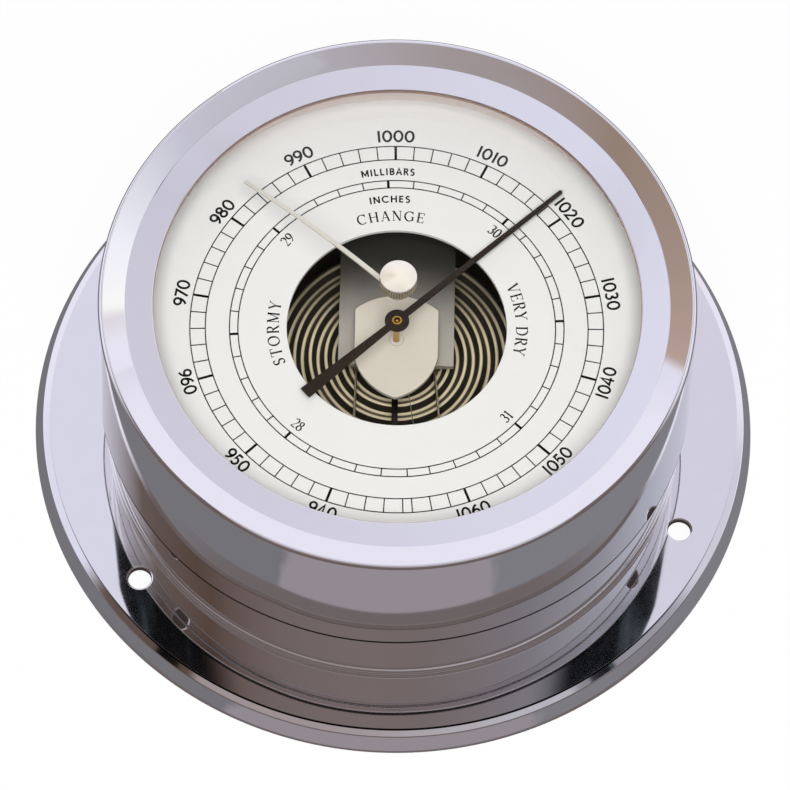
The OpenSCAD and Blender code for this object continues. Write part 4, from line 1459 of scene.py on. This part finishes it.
class PaintFrame(bpy.types.Operator):
    """Give every node of the frame that stays in sight its own finish"""

    bl_idname = "barometer.paint_frame"
    bl_label = "Finishes"

    def execute(self, context):
        def worked(name, shade, *values):
            return finish(name, metal, linear(*shade), *values)

        finishes = {
            finish("Black packing", rubber, linear(30, 28, 27)): ["glass_gasket"],
            worked("Plated sheet", (196, 194, 190), 0.3, 0.3 * MM, (8, 1, 1)): ["back_plate"],
            worked("Lacquered brass sheet", (150, 128, 84), 0.4, 0.3 * MM, (6, 1, 1)): [
                "movement_base"],
            brass_finish(): [
                "movement_pillars", "capsule_foot", "capsule_stud", "bridge_posts",
                "shield_pillars", "lower_bearing", "thread_drum", "hairspring_collet",
                "hairspring_stud", "rocker_arm", "thread_arm", "rocker_bearings",
                "thread_ferrule", "adjusting_screw"],
            finish("Plain steel", metal, paint("steel"), 0.28, 0.15 * MM): [
                "back_screws", "pillar_screws", "base_screws", "capsule_nut", "bridge_screws",
                "post_screws", "lever_pin", "link_pin", "link_rod", "rocker_shaft",
                "bearing_screws"],
            worked("Drawn wire", (214, 200, 170), 0.25, 0.1 * MM): ["wire_stirrup"],
            FINISHES["Frosted nickel"]: ["upper_bearing"],
            worked("Blued strip", (58, 66, 96), 0.25, 0.1 * MM): ["hairspring"],
            finish("Waxed thread", waxed, linear(120, 128, 104)): ["thread"],
            finish("Nylon", enamel, linear(226, 225, 220), 0.4): ["hand_washer", "knob_washer"],
            chrome_finish(): ["set_axle"],
        }
        painted = []
        for material, nodes in finishes.items():
            painted += nodes
            for node in nodes:
                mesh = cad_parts[node].data
                mesh.materials.clear()
                mesh.materials.append(material)
        bare = [name for name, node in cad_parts.items()
                if not node.hide_render and name not in painted]
        if bare:
            raise RuntimeError(f"nodes without a finish: {bare}")
        return {"FINISHED"}


class SetStage(bpy.types.Operator):
    """Set the floor, the light and the camera"""

    bl_idname = "barometer.set_stage"
    bl_label = "Stage"

    def execute(self, context):
        studio = context.scene.barometer_studio
        self.floor()
        self.world(studio)
        self.lights(studio)
        self.cards()
        self.camera(studio)
        context.scene.view_settings.view_transform = "Standard"
        return {"FINISHED"}

    @staticmethod
    def floor():
        """A wide floor just under the object."""
        half, below = 2.0, 0.05 * MM
        bm = bmesh.new()
        bmesh.ops.create_grid(bm, x_segments=8, y_segments=8, size=half)
        floor = mesh_piece("floor", bm)
        if floor.data.polygons[0].normal.z < 0:
            floor.data.flip_normals()
        floor.data.transform(Matrix.Translation((0, 0, -below)))
        floor.data.materials.append(finish("Pale floor", pale_floor))

    @staticmethod
    def world(studio):
        world = bpy.data.worlds.new("Studio")
        world.use_nodes = True
        studio_world(Nodes(world.node_tree), studio.ambient)
        bpy.context.scene.world = world

    @staticmethod
    def lights(studio):
        """One square lamp of even brightness beside the camera, which the metal doesn't mirror."""
        side, away = 0.6, 1.2
        light = bpy.data.lights.new("Soft box", "AREA")
        light.shape = "RECTANGLE"
        light.size = light.size_y = side
        light.energy = studio.key * math.pi * side * side
        level = math.cos(studio.key_rise)
        towards = Vector((level * math.cos(studio.key_turn), level * math.sin(studio.key_turn),
                          math.sin(studio.key_rise)))
        box = bpy.data.objects.new("Soft box", light)
        bpy.context.scene.collection.objects.link(box)
        box.rotation_euler = towards.to_track_quat("Z", "Y").to_euler()
        box.location = towards * away
        box.visible_camera = False
        box.visible_glossy = False

    @staticmethod
    def card(name, corners, high, stops):
        """A bright card that only the polished metal sees, toned from south to north."""
        bm = bmesh.new()
        bm.faces.new([bm.verts.new((x * MM, y * MM, high)) for x, y in corners])
        card = mesh_piece(name, bm)
        card.data.materials.append(finish(name, toned_card, stops))
        for kind in ("camera", "diffuse", "transmission", "volume_scatter", "shadow"):
            setattr(card, "visible_" + kind, False)

    def cards(self):
        """Two cards over the flange and two over the knob."""
        high = 200 * MM
        self.card("East card", ((8, 44), (45, 44), (54, 116), (27, 116)), high, EAST_CARD)
        self.card("West card", ((-45, 44), (-8, 44), (-27, 112), (-54, 112)), high, WEST_CARD)
        self.card("Knob card", ((-9, -1), (9, -1), (9, 20), (-9, 20)), 70 * MM, KNOB_CARD)
        shade = ((-9, 5.4), (-4, 5.4), (-4, 10.6), (-9, 10.6))
        self.card("Knob shade", shade, 69.5 * MM, KNOB_SHADE)

    @staticmethod
    def camera(studio):
        lens = bpy.data.cameras.new("Camera")
        lens.sensor_width = 36.0
        lens.lens = studio.focal * lens.sensor_width
        lens.clip_start, lens.clip_end = 0.05, 20.0
        camera = bpy.data.objects.new("Camera", lens)
        bpy.context.scene.collection.objects.link(camera)
        back = Vector((0, -math.cos(studio.elevation), math.sin(studio.elevation)))
        right = Vector((1, 0, 0))
        up = back.cross(right)
        across = right * math.cos(studio.roll) + up * math.sin(studio.roll)
        above = up * math.cos(studio.roll) - right * math.sin(studio.roll)
        pose = Matrix((across, above, back)).transposed().to_4x4()
        pose.translation = Vector((studio.aim_x, studio.aim_y, 0)) + back * studio.distance
        camera.matrix_world = Matrix.Rotation(studio.twist, 4, "Z") @ pose
        bpy.context.scene.camera = camera


def pale_floor(nodes):
    """White to the camera with the object's shadow, and a grey table to the polished metal, with a
    painted contact shadow by the rim and painted shadow under the object.
    """
    ray = nodes.outputs("ShaderNodeLightPath")
    x, y, _ = nodes.axes()
    out = nodes.radius()
    aside = nodes.maths("ABSOLUTE", x / y)
    below = nodes.smooth(y, -20 * MM, -40 * MM)
    southern = nodes.smooth(aside + nodes.grain(9 * MM) * 0.24, 0.66, 0.58) * below
    east = nodes.smooth(x, -30 * MM, 30 * MM)
    table = nodes.tint(tone(118, 117, 122), tone(127, 126, 132), east)
    table = nodes.tint(table, tone(150, 142, 149), southern)
    # Painted contact shadow on the floor close to the rim, on the south side
    near = nodes.smooth(out, 65.2 * MM, 64.8 * MM) * nodes.smooth(aside, 1.6, 0.6) * below
    table = nodes.tint(table, tone(110, 101, 102), near)
    # Painted shadow on the floor under the object
    table = nodes.tint(tone(58, 50, 48), table, nodes.smooth(out, 61 * MM, 62 * MM))
    lit = nodes.node("ShaderNodeBsdfDiffuse", inputs={"Color": tone(244, 244, 244)})
    white = nodes.glow(WHITE)
    seen = nodes.mix(ray["Is Camera Ray"], lit, nodes.mix(0.06, white, lit))
    seen = nodes.mix(ray["Is Transmission Ray"], seen, white)
    nodes.finished(nodes.mix(ray["Is Glossy Ray"], seen, nodes.glow(table)))


# Tone of the room beside the object. Stops run from -1 in the south to 1 in the north
EAST = ((-1.0, (120, 108, 108)), (-0.5, (127, 124, 130)), (0.0, (148, 147, 156)),
        (0.45, (173, 175, 188)), (0.89, (200, 200, 214)))
WEST = ((-1.0, (122, 110, 109)), (-0.68, (115, 103, 101)), (-0.17, (89, 72, 64)),
        (0.4, (104, 92, 88)), (0.89, (198, 196, 207)))
# Tones of the cards. Stops run from 0 at the southern edge to 1 at the northern one
EAST_CARD = ((0.0, (186, 185, 193)), (0.2, (201, 200, 214)), (0.5, (244, 246, 255)),
             (0.75, (255, 255, 255)), (0.79, (224, 219, 227)), (0.86, (236, 234, 248)))
WEST_CARD = ((0.0, (162, 152, 152)), (0.2, (150, 132, 120)), (0.93, (183, 160, 150)),
             (0.97, (230, 229, 244)))
KNOB_CARD = ((0.0, (255, 247, 234)), (1.0, (255, 251, 243)))
KNOB_SHADE = ((0.0, (206, 176, 142)), (1.0, (226, 203, 172)))


def toned_card(nodes, stops):
    """Light from a card, toned along its own length."""
    _, y, _ = nodes.axes("Generated")
    nodes.finished(nodes.glow(nodes.ramp(stops, y)))


def studio_world(nodes, ambient):
    """Even light, a white background, and the room that the polished metal shows."""
    ray = nodes.outputs("ShaderNodeLightPath")
    x, y, z = nodes.axes("Generated")
    north = y / nodes.maths("SQRT", x * x + y * y + 1e-6)
    rise = nodes.maths("ARCSINE", z) * math.degrees(1)
    # Degrees above the direction in which tube and flange mirror the room
    over = rise + y * 2.7 - 65.1

    def tones(stops):
        return nodes.ramp([((at + 1) / 2, shade) for at, shade in stops], north * 0.5 + 0.5)

    def shades(first, second, value, start, end):
        return nodes.tint(tone(*first), tone(*second), nodes.smooth(value, start, end))

    spot = {"X": north * 1.6, "Y": over * 1.3, "Z": x}
    along = nodes.node("ShaderNodeCombineXYZ", inputs=spot)
    noise = {"Vector": along, "Scale": 1.5, "Detail": 2.0}
    cloud = nodes.node("ShaderNodeTexNoise", inputs=noise, take="Fac")
    streak = shades((9, 11, 14), (104, 116, 125), cloud, 0.6, 0.78)
    beside = nodes.tint(tones(WEST), tones(EAST), nodes.smooth(x, -0.06, 0.06))
    ceiling = shades((161, 150, 151), (186, 184, 193), x, -0.15, 0.3)
    window = shades((224, 224, 242), (209, 207, 221), x, -0.2, 0.2)
    window = nodes.tint(window, tone(236, 234, 248), nodes.smooth(z, 0.74, 0.66))
    room = nodes.tint(beside, ceiling, nodes.smooth(over, 3.2, 4.4))
    pane = nodes.smooth(north, 0.90, 0.95) * nodes.smooth(rise, 80.0, 76.0)
    room = nodes.tint(room, window, pane)
    ends = 2.6 - 0.9 * nodes.smooth(y, 0.2, 0.4)
    dark = nodes.smooth(over, 0.3, 0.55) * nodes.smooth(over - ends, 0.0, -0.25)
    dark = dark * nodes.smooth(y, -0.22, -0.02) * nodes.smooth(north, 0.925, 0.905)
    room = nodes.tint(room, streak, dark)
    floorward = shades((106, 96, 95), (150, 138, 135), z, 0.12, 0.02)
    outlook = nodes.tint(floorward, window, nodes.smooth(north, -0.1, 0.3))
    room = nodes.tint(room, outlook, nodes.smooth(rise, 60.0, 56.0))
    seen = nodes.tint((ambient, ambient, ambient, 1.0), room, ray["Is Glossy Ray"])
    through = nodes.maths("MAXIMUM", ray["Is Camera Ray"], ray["Is Transmission Ray"])
    seen = nodes.tint(seen, WHITE, through)
    sky = nodes.node("ShaderNodeBackground", inputs={"Color": seen, "Strength": 1.0})
    nodes.node("ShaderNodeOutputWorld", inputs={"Surface": sky})


OPERATORS = (SetStage, MakeCase, MakeBezel, MakeGlass, MakeDial, MakeScales, MakeLettering,
             MakeHands, MakeKnob, MakeCapsule, MakePlates, PaintFrame)
GROUPS = {
    "barometer_case": CaseSizes,
    "barometer_bezel": BezelSizes,
    "barometer_dial": DialSizes,
    "barometer_movement": MovementSizes,
    "barometer_colours": Colours,
    "barometer_studio": Studio,
}


class BarometerPanel(bpy.types.Panel):
    """Lists the pieces of the barometer in the sidebar"""

    bl_idname = "VIEW3D_PT_barometer"
    bl_label = "Ship Barometer"
    bl_space_type = "VIEW_3D"
    bl_region_type = "UI"
    bl_category = "Barometer"

    def draw(self, context):
        for operator in OPERATORS:
            self.layout.operator(operator.bl_idname)


def register():
    for group in GROUPS.values():
        bpy.utils.register_class(group)
    for name, group in GROUPS.items():
        setattr(bpy.types.Scene, name, PointerProperty(type=group))
    for operator in OPERATORS:
        bpy.utils.register_class(operator)
    bpy.utils.register_class(BarometerPanel)


def unregister():
    bpy.utils.unregister_class(BarometerPanel)
    for operator in reversed(OPERATORS):
        bpy.utils.unregister_class(operator)
    for name in GROUPS:
        delattr(bpy.types.Scene, name)
    for group in reversed(GROUPS.values()):
        bpy.utils.unregister_class(group)


def main():
    register()
    for operator in OPERATORS:
        group, name = operator.bl_idname.split(".")
        getattr(getattr(bpy.ops, group), name)()


if __name__ == "__main__":
    main()
